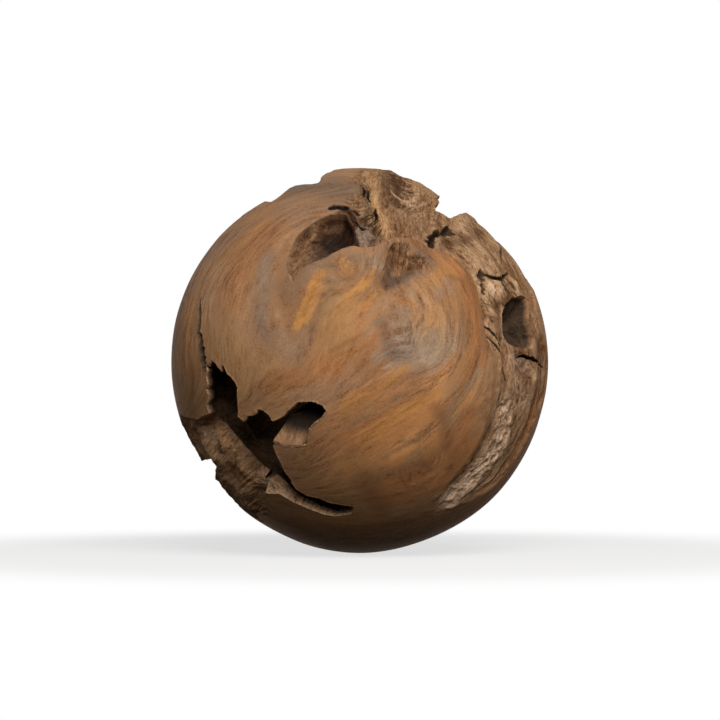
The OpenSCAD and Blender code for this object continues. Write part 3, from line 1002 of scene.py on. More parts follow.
@dataclass
class Sweep:
    """A cutter or a block whose corners run from station to station.

    Faces run straight between the corners and the stations and are split fine. Averaging each
    point with its neighbours a number of times rounds the corners off, and torn wood or saw
    lines roughen what lies inside the ball.
    """

    stations: Sequence[Sequence[tuple[float, float, float]]]  # round, up and depth of each corner
    fine: float = 1.5
    rough: float = 0.7
    lumps: float = 0.0
    rounds: int = 0
    saw_lines: float = 0.0
    made: Made = Made.RAW
    edges: dict[int, Made] = field(default_factory=dict)
    lump_mm: float = 15.0  # width of the lumps
    saw_turn: float = 2.9  # how fast the saw's lines follow each other, in radians a mm

    def surface(self, root: Root) -> Surface:
        """The sweep's closed wall.

        Args:
            root: the root that it is cut in.
        Returns:
            The wall.
        """
        knots = np.array(self.stations, float)
        spots = (RADIUS - knots[..., 2:]) * towards(knots[..., :2])
        after = np.roll(spots, -1, 1)
        spans = np.linalg.norm(after - spots, axis=-1).max(0)
        counts = np.maximum(1, np.round(spans / self.fine)).astype(int)
        ring = [mix(spots[:, c], after[:, c], t)
                for c, n in enumerate(counts) for t in np.arange(n) / n]
        tags = [self.edges.get(c, self.made) for c, n in enumerate(counts) for _ in range(n)]
        corners = np.stack(ring, 1)
        rows = [corners[:1]]
        for a, b in zip(corners[:-1], corners[1:]):
            count = max(1, int(round(np.linalg.norm(b - a, axis=-1).max() / self.fine)))
            rows.append(mix(a[None], b[None], (np.arange(count)[:, None, None] + 1) / count))
        rings = np.concatenate(rows)
        for _ in range(self.rounds):
            rings = rings / 2 + (np.roll(rings, 1, 1) + np.roll(rings, -1, 1)) / 4
            rings[1:-1] = rings[1:-1] / 2 + (rings[2:] + rings[:-2]) / 4
        inside = ease((RADIUS + 0.5 - np.linalg.norm(rings, axis=-1, keepdims=True)) / 2.0)
        lumps = self.lumps * NOISE.layered(rings / self.lump_mm, 2)[..., None]
        rings = rings - unit(rings) * inside * (self.rough * root.roughness(rings) + lumps)
        if self.saw_lines:
            run = np.linspace(0.0, spans[1] + len(rings) * self.fine, len(rings))[:, None, None]
            wave = np.sin(run * self.saw_turn + 0.8 * NOISE.at(rings / 5.0)[..., None])
            rings = rings + unit(rings) * inside * self.saw_lines * wave
        return ring_surface(rings, np.array(tags), flat_ends=True)


@dataclass
class Trim:
    """Everything outside a profile of the ball's edge, straight through from front to back.

    Each point of the profile is an angle from the right and a height above the round. The cut is
    carried along Y and wavers a little on its way.
    """

    profile: Sequence[tuple[float, float]]
    rough: float = 0.4
    made: Made = Made.RAW
    reach: float = 156.0  # how far it goes to the front and to the back
    step: float = 3.0
    waver_mm: tuple[float, float, float] = (2.6, 9.0, 2.6)  # length of its wavers along each axis

    def surface(self, root: Root) -> Surface:
        """The trim's closed wall.

        Args:
            root: the root that it is cut in; not used.
        Returns:
            The wall.
        """
        knots = np.array(self.profile, float)
        angle, reach = np.radians(knots[:, 0]), RADIUS + knots[:, 1]
        spots = np.stack([reach * np.cos(angle), 0.0 * angle, reach * np.sin(angle)], -1)
        low = along_knots(spots, 1.1, smooth=False)
        clear = (unit(low) * (RADIUS + 2.0 * CLEAR))[::-1][:: max(1, len(low) // 12)]
        back = np.arange(-self.reach, self.reach + 0.1, self.step)
        rings = np.repeat(np.concatenate([low, clear])[None], len(back), 0)
        rings[..., 1] = back[:, None]
        waver = NOISE.layered(rings / np.array(self.waver_mm), 3) * self.rough
        waver[:, len(low):] = 0.0
        rings = rings - unit(rings * np.array([1.0, 0.0, 1.0])) * waver[..., None]
        return ring_surface(rings, self.made, flat_ends=True)


MOUTH = (
    (-53.4, 1.5), (-52.2, -0.4), (-50.9, -1.3), (-49.4, 0.4), (-47.5, -1.1), (-45.4, -2.8),
    (-45, -0.9), (-43.6, -2.6), (-42.6, -3.9), (-40.2, -5.8), (-39.5, -7.5), (-39.9, -10.2),
    (-40.1, -13.9), (-41.4, -16.9), (-39.8, -18.4), (-37.2, -17), (-36.8, -16.2), (-34.5, -16.1),
    (-33, -15.2), (-32.3, -13.9), (-30.6, -14.6), (-29, -15.6), (-28.2, -17.4), (-27.1, -17.7),
    (-24.3, -16.5), (-21.8, -14.6), (-20.3, -13.2), (-18.7, -12.2), (-17.1, -11.8), (-14.4, -11.8),
    (-12.9, -12.4), (-11.3, -13), (-10.4, -14.6), (-11.9, -16.4), (-14, -17.9), (-16.2, -19.9),
    (-16.9, -22.4), (-17.7, -24.6), (-22.9, -25.3), (-26.7, -24.8), (-28.6, -24), (-29.4, -25.4),
    (-29.4, -27.3), (-29.1, -29), (-28.5, -30.7), (-28.1, -32.4), (-28.6, -33.8), (-32.5, -36.5),
    (-37, -34.5), (-41.5, -29), (-45, -24), (-49, -19.5), (-53.5, -17), (-53.7, -14.9),
    (-54.1, -12.6), (-52.9, -11.6), (-52.2, -9.8), (-53, -8.1), (-51.7, -6.6), (-52.5, -4.4),
    (-51.5, -2.6),
)

EYE = (
    (-26, 32.2), (-26.1, 35.8), (-25.3, 39.6), (-23.1, 43.1), (-19.7, 46.5), (-14.9, 49.2),
    (-11.8, 49.9), (-6.7, 49.8), (-4.1, 46.4), (-2.2, 43), (-0.4, 39.4), (-1, 36.8), (-4.8, 36.3),
    (-9.1, 34.2), (-12.4, 32), (-16.1, 30.7), (-20.1, 27.7), (-22, 24.1), (-23.4, 25.6),
    (-25.5, 28.7),
)

KNOT = (
    (13, 38.2), (10.6, 35), (9.2, 30.6), (7.4, 27.3), (6.6, 23.4), (8.9, 21), (12.7, 21.4),
    (17, 24), (20.6, 27.3), (24, 30.7), (24.6, 33.4), (22, 36.6), (18.6, 38.6), (15.8, 39.4),
)

CUP = (
    (72.4, 20.2), (66.3, 20.8), (60.5, 19.6), (56, 16.8), (53.4, 12.9), (52.5, 9.5), (53.6, 6.8),
    (57, 5.2), (62.5, 4.4), (68, 4.6), (69.6, 6.8), (68.4, 9.6), (68, 13), (70, 16.2), (72.8, 18.4),
)

BOWL = (
    (60, 80), (31.9, 75.1), (19.5, 63.2), (21.8, 57.9), (29.1, 57.5), (41.7, 61.6), (57, 66.9),
    (64, 71), (63, 75), (62, 78.4),
)


@dataclass
class RootHollow:
    """The root hollow at the lower left, the sawn block in it and the raw wood beside it."""

    lip: float = 9.0  # mm of wood over the burrows
    saw_fall: float = 20.0  # how far back the saw's face falls
    ground_depth: float = 5.0

    def openings(self) -> list[Opening]:
        """The mouth and the burrows behind it.

        Returns:
            The mouth first.
        """
        return [
            Mouth(MOUTH),
            Burrow(((-46, 0, 32, 20), (-44, -10, 38, 26), (-40, -17, 48, 31), (-38, -27, 38, 24),
                    (-36, -34, 30, 14)), ceiling=self.lip),
            Burrow(((-41, -18, 46, 29), (-31, -20, 32, 22), (-22, -16, 24, 16), (-14, -15, 18, 12)),
                   ceiling=self.lip - 0.6),
            Burrow(((-46, -12, 30, 19), (-57, -12, 26, 13), (-63, -15, 24, 10)),
                   ceiling=self.lip + 0.7),
        ]

    def block(self) -> Sweep:
        """The wood under the arm of the hollow, with the saw's face on it.

        Its corners run along the front edge of the saw cut; each goes back down the cut and then
        down into the wood.

        Returns:
            The block, which is left standing in the hollow.
        """
        fall, low = self.saw_fall, self.saw_fall + 26.0
        front = ((-28.9, -23.7), (-25.5, -25.1), (-19.2, -25), (-16.6, -22.9))
        rear = ((-23.5, -17.1, fall - 8), (-20, -16.4, fall - 4), (-16.6, -16, fall),
                (-12.8, -16.6, fall + 2))
        # the saw's face is painted darker deeper in, a painted shadow under the arm
        return Sweep(
            tuple(((x, z, -0.5), r, (*r[:2], low), (x, z - 2.0, low), (x, z - 2.0, 4.0))
                  for (x, z), r in zip(front, rear)),
            fine=0.9, rough=0.2, saw_lines=0.12, edges={0: Made.SAWN},
        )

    def ground(self) -> Sweep:
        """The raw ground beside the hollow: a rounded crest that falls away to both sides.

        Returns:
            What is cut off over the ground.
        """
        outer = ((-80, -16), (-88, -20.5), (-88, -28), (-86, -36), (-84, -43), (-80, -52),
                 (-70, -58))
        crest = ((-66, -17.2), (-77, -22.5), (-69, -27), (-62, -33), (-62, -40), (-64, -47),
                 (-67, -54))
        shelf = ((-60, -17.6), (-68, -20.6), (-58, -23.5), (-52, -29), (-51, -36), (-53, -43),
                 (-60, -51.5))
        inner = ((-44, -13.5), (-38, -18), (-34, -21), (-31, -25), (-31, -31), (-38, -38),
                 (-50, -51))
        dips = (0.3, 0.2, 0.3, 0.2, 0.4, 0.2, 0.4)  # depth of the crest, in ground depths
        falls = (8.4, 8.4, 8.4, 8.4, 8.4, 2.4, 1.2)  # depth of the inner edge
        clear, rows = -14.0, []
        for o, c, s, i, dip, fall in zip(outer, crest, shelf, inner, dips, falls):
            half = ((s[0] + i[0]) / 2, (s[1] + i[1]) / 2)
            shelf_at, inner_at = self.ground_depth * min(1.4, fall), self.ground_depth * fall
            rows.append(((*o, clear), (*o, -0.3), (*c, self.ground_depth * dip), (*s, shelf_at),
                         (*half, mix(shelf_at, inner_at, 0.4)), (*i, inner_at), (*i, clear),
                         (*c, clear)))
        return Sweep(tuple(rows), fine=2.0, rough=1.2, lumps=2.6, rounds=4)

    def ledge(self) -> Sweep:
        """The raw face of the ledge and the slit over it, under the block.

        Each station runs from the upper lip over the outside to the ledge's lower edge, up its
        pale face to the slit's floor, back along the floor and back out under the upper lip.

        Returns:
            What is cut out over the ledge.
        """
        lower = ((-42.9, -42.1), (-39.2, -42.9), (-34.4, -42.6), (-29.2, -46.5), (-25.5, -48.3),
                 (-21.7, -50.1), (-16.9, -52), (-12.1, -52.7), (-3.6, -51.1))
        face = ((-42, -39.6), (-33.6, -37.1), (-31.2, -39.9), (-29.3, -44.4), (-25.5, -47.5),
                (-20.6, -50.1), (-15.9, -52.7), (-10.5, -54), (-3.5, -53))
        floor = ((-48, -42), (-38, -39.6), (-35.5, -42.6), (-34, -48), (-30, -51.5),
                 (-25, -54.5), (-20, -57.5), (-13.5, -59), (-4.5, -58))
        upper = ((-36, -35.5), (-27.9, -33.1), (-27.1, -36.8), (-25.5, -40.6), (-21.8, -43.2),
                 (-17, -44.4), (-12.7, -46.3), (-8.1, -47.1), (-2.9, -47.8))
        clear, face_at, floor_at, lip_at = -6.0, 7.0, 21.0, 2.0
        # the slit's floor and back are painted dark, a painted shade under the block
        return Sweep(
            tuple(((*u, clear), (*l, clear), (*l, 0.2), (*f, face_at), (*b, floor_at),
                   (*u, floor_at - 1.0), (*u, lip_at))
                  for u, l, f, b in zip(upper, lower, face, floor)),
            fine=1.1, rough=1.0, lumps=0.8, edges={3: Made.CAVE, 4: Made.CAVE},
        )


@dataclass
class OuterEdge:
    """What the ball's edge lacks: the gap, the outer layers where they end, and the nick."""

    gap: float = 17.0  # depth in mm
    nick: float = 11.0

    def trims(self) -> list[Opening]:
        """The cuts through the edge: upper right, upper left and lower left.

        Returns:
            One cut for each.
        """
        gap, nick = self.gap, self.nick
        return [
            Trim(((54.4, 0.5), (54.7, -gap * 0.26), (57, -gap * 0.76), (57.8, -gap * 0.97),
                  (61, -gap), (63.3, -gap), (64.2, -gap * 0.82), (63.5, -gap * 0.53),
                  (64.8, -gap * 0.41), (64.2, -gap * 0.24), (64.4, 1)), rough=0.7),
            Trim(((97, 6), (98.5, 3), (100, 2.4), (101.2, 0.8), (101.9, -1), (102.2, -3.4),
                  (103, -5.3), (105, -5), (107.5, -2.9), (109.9, -1.3), (111.9, -1.4),
                  (113.6, -3.2), (115.2, -4.7), (117.2, -5.8), (119, -6), (119.9, -4),
                  (120.6, -2.4), (124.1, -2), (128.1, -1.4), (134, -0.9), (142, 0.8)),
                 rough=0.15, made=Made.SKIN),
            Trim(((196, 1), (206, -nick * 0.18), (212, -nick * 0.18), (212.3, -nick * 0.55),
                  (213, -nick), (216, -nick * 1.05), (216.5, -nick * 0.82), (219, -nick * 0.27),
                  (226, -nick * 0.2), (232, -nick * 0.05), (238, 1)), rough=0.7),
        ]


POCKETS = (
    Pocket(EYE, (-12, 42), 21.0,
           ((0, 0.9), (0.15, 1), (0.5, 1), (0.58, 0.6), (0.66, 0.35), (0.9, 0.3), (1, 0.9)),
           rough=1.2),
    Pocket(KNOT, (13.2, 29), 7.0,
           ((0, 0.4), (0.15, 0.2), (0.4, 0.0), (0.7, 0.0), (0.85, 0.2), (1, 0.4)), lip=0.7,
           rough=0.9, made=Made.SKIN),
    Pocket(BOWL, (52, 72), 6.0, ((0, 0.0), (1, 0.0)), rough=0.5, lip=0.5),
    Pocket(CUP, (62.5, 11.5), 19.0,
           ((0, 0.7), (0.2, 0.4), (0.35, 0.1), (0.5, 0.3), (0.62, 0.9), (0.8, 1), (1, 0.7)),
           rough=0.25, made=Made.DARK_AND_SHADED),
)

# the torn hollow where the gap opens at the back
GAP_BACK = Burrow(((122, 47, 0, 17), (136, 40, -2, 24), (150, 31, -4, 19)))

CRACKS = (
    # the left crack, down into the hollow
    Crack(((-60.8, 19.2, 1.0, 4), (-59.6, 16.3, 1.9, 8), (-58.5, 14.8, 2.6, 11),
           (-57.3, 11.1, 2.2, 14), (-57.4, 9.6, 3.0, 14), (-56, 7.5, 3.2, 18),
           (-54.7, 4.5, 4.2, 18), (-54, 2.1, 5, 18), (-53, -2, 6, 18)), ragged=0.8),
    # between the gap and the belt's big billow
    Crack(((31.2, 39.2, 4, 9), (32.3, 41.8, 6, 13), (35.4, 44.9, 5, 13), (39.9, 46.8, 4, 11),
           (44.3, 46.9, 5, 11), (51.2, 50, 4, 8)), ragged=0.7),
    Crack(((49.6, 50, 5, 9), (49.1, 49, 9, 11), (47, 45.6, 5, 8)), ragged=0.8),
    Crack(((86, 41.6, 1.2, 3), (77.9, 38, 2, 4), (69.4, 32.8, 1.2, 3))),
    # the holes and the dark splits beside the nubs
    Crack(((52.4, 31.4, 3, 8), (51.9, 30.4, 6, 14), (50.9, 28.2, 5, 12), (50.2, 26.8, 2, 6)),
          ragged=0.6),
    Crack(((50.2, 26.4, 2, 7), (49.6, 24.8, 4, 12), (48.8, 22.4, 2.4, 8)), ragged=0.6),
    Crack(((60.2, 27.6, 1.2, 5), (61.6, 25, 2.8, 9), (62.9, 22, 1.4, 5)), ragged=0.5),
    Crack(((63.8, 27.6, 1.2, 5), (64.8, 25, 2.4, 8), (65.2, 22.4, 1.2, 5)), ragged=0.5),
    Crack(((67.1, 27.5, 1, 4), (68, 25.4, 2, 7), (68.2, 23.2, 1, 4)), ragged=0.5),
    Crack(((54, 29.2, 1.6, 5), (59.1, 27.8, 3, 8), (62.8, 27.5, 3.4, 9), (70.6, 29.8, 2, 5)),
          ragged=0.5),
    # grooves between the lobe and the cup
    Crack(((43.4, 13.4, 0.9, 2), (46, 10.5, 1.6, 4), (48.4, 7.6, 1.8, 4), (50.6, 4.8, 0.9, 2))),
    Crack(((43, 10, 0.9, 2), (45.8, 6.7, 1.4, 3), (49.8, 2.4, 0.9, 2))),
    # the slit under the cup and the fine cracks below it
    Crack(((58.6, 1.2, 1, 4), (62.6, 2, 2.6, 9), (66.5, 1.3, 3.2, 12), (72.5, 0.2, 2, 8),
           (80, -1.6, 1.2, 5)), ragged=0.5),
    Crack(((50.8, -1.4, 0.9, 2), (52, -3.7, 1.6, 4), (52.7, -6, 0.9, 2))),
    Crack(((50.4, -11.6, 0.9, 2), (49.2, -13.4, 1.5, 4), (48.6, -16.2, 0.9, 2))),
    Crack(((53, -12.8, 0.9, 2), (51.4, -14.6, 1.4, 3))),
    # pits along the belt's ragged start at the top
    Crack(((2.2, 67.8, 0.9, 2), (3.6, 66, 1.8, 4), (2.6, 63, 0.9, 2)), ragged=0.9),
    Crack(((6.6, 66.4, 0.8, 2), (5.4, 63.4, 1.4, 4), (6.2, 60, 0.8, 2)), ragged=0.9),
    Crack(((8.9, 57, 0.8, 4), (8.4, 54.5, 2.2, 8), (8.9, 53, 2.0, 7), (7.7, 50.4, 0.8, 4)),
          ragged=0.6),
    Crack(((3, 46, 1.2, 3), (0.8, 45, 2.4, 5), (-2, 46.6, 2, 5)), ragged=0.8),
    Crack(((-3.6, 51.4, 2.6, 6), (-1.4, 52, 4, 8), (0.4, 52.8, 2.2, 5)), ragged=0.9),
    Crack(((-15.4, 52.6, 3.4, 4), (-12, 52.8, 4.4, 5), (-8, 52.8, 5, 8), (-5.2, 52.1, 5, 10)),
          ragged=0.5),
    # beside the ledge and in the ground
    Crack(((-27.4, -35.2, 3, 7), (-27.8, -37.5, 4, 9), (-27.8, -40, 3, 8))),
    Crack(((-60, -50, 1, 3), (-57, -52, 2.6, 6), (-53, -53.5, 1.2, 3)), ragged=0.8),
    # the curls in the knot
    Crack(((18.6, 39.4, 0.7, 2), (16.4, 37.6, 1.3, 3.5), (15.5, 36.2, 2.0, 5),
           (16.4, 34.6, 2.2, 6), (19, 33.6, 1.8, 5), (23, 33.4, 0.8, 2)), ragged=0.7,
          made=Made.RAW),
    Crack(((13.4, 36.4, 0.6, 1.5), (12.6, 34.2, 1.1, 2.5), (13, 32.2, 0.7, 2)), ragged=0.7,
          made=Made.RAW),
    Crack(((17, 31.8, 0.6, 1.5), (19.6, 31.2, 1.0, 2.5), (22, 31.4, 0.6, 1.5)), ragged=0.7,
          made=Made.RAW),
)


# ---- colours laid in the wood ----


def linear(colour: str) -> tuple[float, float, float, float]:
    """An sRGB hex colour as linear red, green, blue and a full alpha.

    Dark levels are divided by 12.92, and the others go by the power 2.4.

    Args:
        colour: the hex colour.
    Returns:
        The four levels.
    """
    levels = [int(colour[k:k + 2], 16) / 255.0 for k in (1, 3, 5)]
    flat = [v / 12.92 if v <= 0.04045 else ((v + 0.055) / 1.055) ** 2.4 for v in levels]
    return (*flat, 1.0)


class Hue(Enum):
    """Colours of teak root on its lighter lines."""

    BROWN = "#C09873"
    ORANGE = "#C68D5E"
    GOLD = "#D49C5E"
    GREY = "#AB927D"
    OLIVE = "#B0895F"
    UMBER = "#946D4B"
    DARK = "#62483A"
    CHAR = "#422E22"
    PALE = "#BBA892"
    SLATE = "#8C7B6C"
    AMBER = "#E4A870"
    SAND = "#D2AC8A"
    RAW = "#CBA57F"
    RAW_PALE = "#F8D3B2"
    RAW_GOLD = "#D9AC7C"
    RAW_DARK = "#7C5E46"
    RAW_UMBER = "#A07D5E"
    RAW_GREY = "#B29A86"


@dataclass(frozen=True)
class Streak:
    """A soft streak of another colour in the wood, laid along a path of places."""

    hue: Hue
    width: float  # half width in mm
    strength: float  # share of the colour at the middle of the streak
    path: Sequence[tuple[float, float]]


SANDED_STREAKS = tuple(Streak(*row) for row in (
    (Hue.SAND, 26, 0.7, ((-86.4, 35.9), (-63.7, 22.1), (-45, 12.5), (-34, 3.6))),
    (Hue.UMBER, 16, 0.75, ((23.3, 38.8), (35.9, 33.4), (37.4, 21.7), (36.2, 9.5))),
    (Hue.SLATE, 12, 0.6, ((-22.7, 23.1), (-20.7, 30.7), (-5, 30.6), (5.2, 30.6))),
    (Hue.AMBER, 22, 0.95, ((-3.3, -31.5), (9.6, -23.2), (21.6, -14), (27.5, -6.6))),
    (Hue.ORANGE, 20, 0.8, ((11.8, -40.8), (26.1, -35.3), (34.5, -25.1))),
    (Hue.AMBER, 7, 0.6, ((22, -38), (27, -35), (31, -30))),
    (Hue.ORANGE, 10, 0.6, ((-15.9, -23.3), (-7.7, -20.1), (-2.9, -14))),
    (Hue.SLATE, 22, 0.85, ((-61, 66), (-36, 66), (-10, 64))),
    (Hue.GREY, 6, 0.9, ((-76, 29), (-79, 39), (-86, 48), (-70, 52), (-65, 56))),
    (Hue.DARK, 1.4, 0.75, ((-66, 53), (-75, 49), (-76.8, 40.4), (-76.5, 32), (-73, 24))),
    (Hue.GREY, 14, 0.5, ((-46, 53), (-35, 52), (-24, 52))),
    (Hue.GREY, 5, 0.6, ((-69, 34), (-62, 41), (-53, 46))),
    (Hue.ORANGE, 16, 0.55, ((-44, 19), (-45, 31), (-44, 43))),
    (Hue.GREY, 7.5, 0.95, ((-34, 31), (-31.8, 20), (-31.5, 12), (-29, 8))),
    (Hue.GREY, 8, 0.5, ((-28, 8), (-22, 5), (-18, 3))),
    (Hue.UMBER, 10, 0.35, ((-24, 23), (-20, 18), (-18, 11))),
    (Hue.OLIVE, 12, 0.6, ((-8, 22), (-4, 20), (4, 24))),
    (Hue.GREY, 6, 0.7, ((-9, 23), (-11, 15), (-14, 8))),
    (Hue.UMBER, 2.5, 0.45, ((-11.5, 20), (-12, 15), (-14.7, 8.6))),
    (Hue.GOLD, 3, 0.9, ((-13, 27), (-15.6, 20.7), (-17, 15.3), (-19, 11))),
    (Hue.GOLD, 4.5, 0.85, ((-14, 22), (-15.4, 18), (-17, 13.5))),
    (Hue.UMBER, 0.8, 0.5, ((-14, 23.5), (-15.6, 18), (-17.4, 13))),
    (Hue.GOLD, 4.5, 0.6, ((-6.5, 31.5), (-4.5, 28))),
    (Hue.UMBER, 1.2, 0.5, ((-8.5, 30), (-7.4, 26), (-4, 24.6), (-1, 27), (-0.8, 31))),
    (Hue.UMBER, 1.6, 0.5, ((-10.4, 25), (-9, 21.6), (-5.5, 19.8), (-1.4, 22.6))),
    (Hue.GOLD, 1.8, 0.9, ((-3.6, 19.4), (-6, 16), (-8.6, 12.2))),
    (Hue.GOLD, 2.2, 0.85, ((4.5, 20), (1.7, 16.8), (-2, 13.4), (-7, 9.2))),
    (Hue.GOLD, 1.6, 0.8, ((1.5, 24.5), (-1.6, 21.2), (-4.6, 17.4))),
    (Hue.GOLD, 1.8, 0.7, ((5, 28.6), (3.4, 25), (0.6, 22))),
    (Hue.DARK, 0.8, 0.5, ((1, 14.6), (-1.6, 12.4), (-4.6, 9.8))),
    (Hue.ORANGE, 16, 0.6, ((-9, -2), (-3, 4), (1, 8))),
    (Hue.ORANGE, 12, 0.5, ((7, 8), (4, -1), (0, -7))),
    (Hue.OLIVE, 12, 0.45, ((-10, 8), (-5, 5), (0, 2))),
    (Hue.UMBER, 1.4, 0.5, ((-9, 3), (-3, 6), (2, 9), (5, 12))),
    (Hue.GOLD, 1.6, 0.5, ((-8, 0), (-2, 3), (3, 6.5))),
    (Hue.OLIVE, 18, 0.5, ((-48, 6), (-38, 3), (-30, 0))),
    (Hue.OLIVE, 18, 0.55, ((-38, -7), (-28, -9), (-21, -10))),
    (Hue.ORANGE, 9, 0.6, ((-26, -6), (-16, -5), (-8, -2))),
    (Hue.GREY, 9, 0.4, ((-18, -10), (-9, -8), (-2, -5))),
    (Hue.OLIVE, 20, 0.6, ((-20, -28), (-17, -35), (-12, -41))),
    # the lobe's middle: pale grey wood with a painted sheen highlight over it
    (Hue.GREY, 24, 0.6, ((15, 7), (20, 10))),
    (Hue.PALE, 14, 0.85, ((14, 2), (19, 5), (24, 7))),
    (Hue.PALE, 11, 0.55, ((14, 14), (18, 16), (23, 17))),
    (Hue.SLATE, 4, 0.6, ((6.5, 12), (7.5, 7), (9, 3), (13, 0.5))),
    (Hue.GOLD, 4, 0.5, ((12.5, 18), (15.5, 17.2))),
    (Hue.GOLD, 15, 0.55, ((22, 14), (26, 21), (32, 28))),
    (Hue.GREY, 6, 0.6, ((24, 19), (27, 21), (30, 23))),
    (Hue.ORANGE, 7, 0.8, ((28, 35), (32, 32), (36, 28))),
    (Hue.UMBER, 6, 0.55, ((33, 38), (38, 35.5), (42, 30))),
    (Hue.ORANGE, 8, 0.8, ((37, 22), (38, 12), (37, 4), (34, -5))),
    (Hue.UMBER, 4, 0.6, ((40.5, 26), (42, 18), (43, 11), (42, 4))),
    (Hue.UMBER, 2, 0.6, ((31.5, 26), (34.5, 25), (35.5, 21))),
    (Hue.PALE, 7, 0.55, ((6, 31), (8, 34), (12, 38))),
    (Hue.GOLD, 5, 0.75, ((-4, -12), (5, -8), (13, -3))),
    (Hue.OLIVE, 6, 0.7, ((-3, -17), (6, -12), (15, -6))),
    (Hue.GREY, 5, 0.5, ((10, -9), (13, -6), (17, -3))),
    (Hue.ORANGE, 14, 0.75, ((1, -23), (8, -17), (16, -11))),
    (Hue.GOLD, 4, 0.7, ((1, -24), (9, -18), (15, -13), (21, -10))),
    (Hue.OLIVE, 9, 0.55, ((29, -15), (31, -8), (33, -2))),
    (Hue.PALE, 4, 0.5, ((34, -7), (36, -5), (37, -3))),
    (Hue.ORANGE, 9, 0.8, ((34, -28), (35, -22), (35, -16))),
    (Hue.GREY, 7, 0.4, ((28, -16), (29, -11), (29, -6))),
    (Hue.UMBER, 9, 0.3, ((7, -33), (20, -33), (30, -29))),
    (Hue.OLIVE, 8, 0.6, ((-9, 19), (-6, 14), (-10, 9))),
    (Hue.UMBER, 5, 0.5, ((24, -14), (27, -18), (30, -25))),
    (Hue.UMBER, 2, 0.6, ((14.5, -34), (17, -31.4), (22, -31), (26, -33.4))),
    (Hue.UMBER, 1.4, 0.6, ((15.5, -37), (19, -40), (24, -39.6), (27.5, -36.5))),
    (Hue.DARK, 1.0, 0.5, ((18.5, -37.6), (18.4, -35), (21.4, -34), (24.2, -35.6))),
    (Hue.ORANGE, 2, 0.7, ((19.6, -36.8), (22, -35.4), (24, -37.4))),
    (Hue.OLIVE, 10, 0.55, ((-3, -30), (1, -34), (4, -37))),
    (Hue.UMBER, 8, 0.5, ((2, -36), (5, -43), (10, -50))),
    (Hue.AMBER, 8, 0.6, ((-67, 16), (-64, 5), (-62, -4))),
    (Hue.OLIVE, 9, 0.8, ((-61, -5), (-64, -11), (-66, -15))),
    (Hue.GREY, 7, 0.6, ((-87, 13), (-78, 4), (-73, -7))),
    (Hue.UMBER, 18, 0.15, ((-40, -61), (-15, -66), (21, -64))),
    (Hue.ORANGE, 8, 0.4, ((-15, -55), (-2, -55), (7, -52))),
    (Hue.ORANGE, 10, 0.85, ((62, -56), (76, -43), (80, -34), (84, -22), (86, -10))),
    (Hue.DARK, 2.5, 0.7, ((73, -43), (74, -35), (75, -26))),
    # the underside darker: partly dark wood, partly painted shade
    (Hue.DARK, 15, 0.6, ((-50, -62), (-20, -76), (20, -80), (50, -70))),
    # the knot
    (Hue.UMBER, 8, 0.8, ((12.4, 36), (11, 32), (15, 30), (20, 32))),
    (Hue.SLATE, 8, 0.95, ((10, 24.5), (14, 26), (19, 29), (22.4, 32))),
    (Hue.DARK, 5, 0.6, ((8.2, 23.6), (11, 25.4), (16, 28), (20, 30.4))),
    (Hue.DARK, 2, 0.6, ((7.6, 25), (9.4, 29), (11, 33))),
))

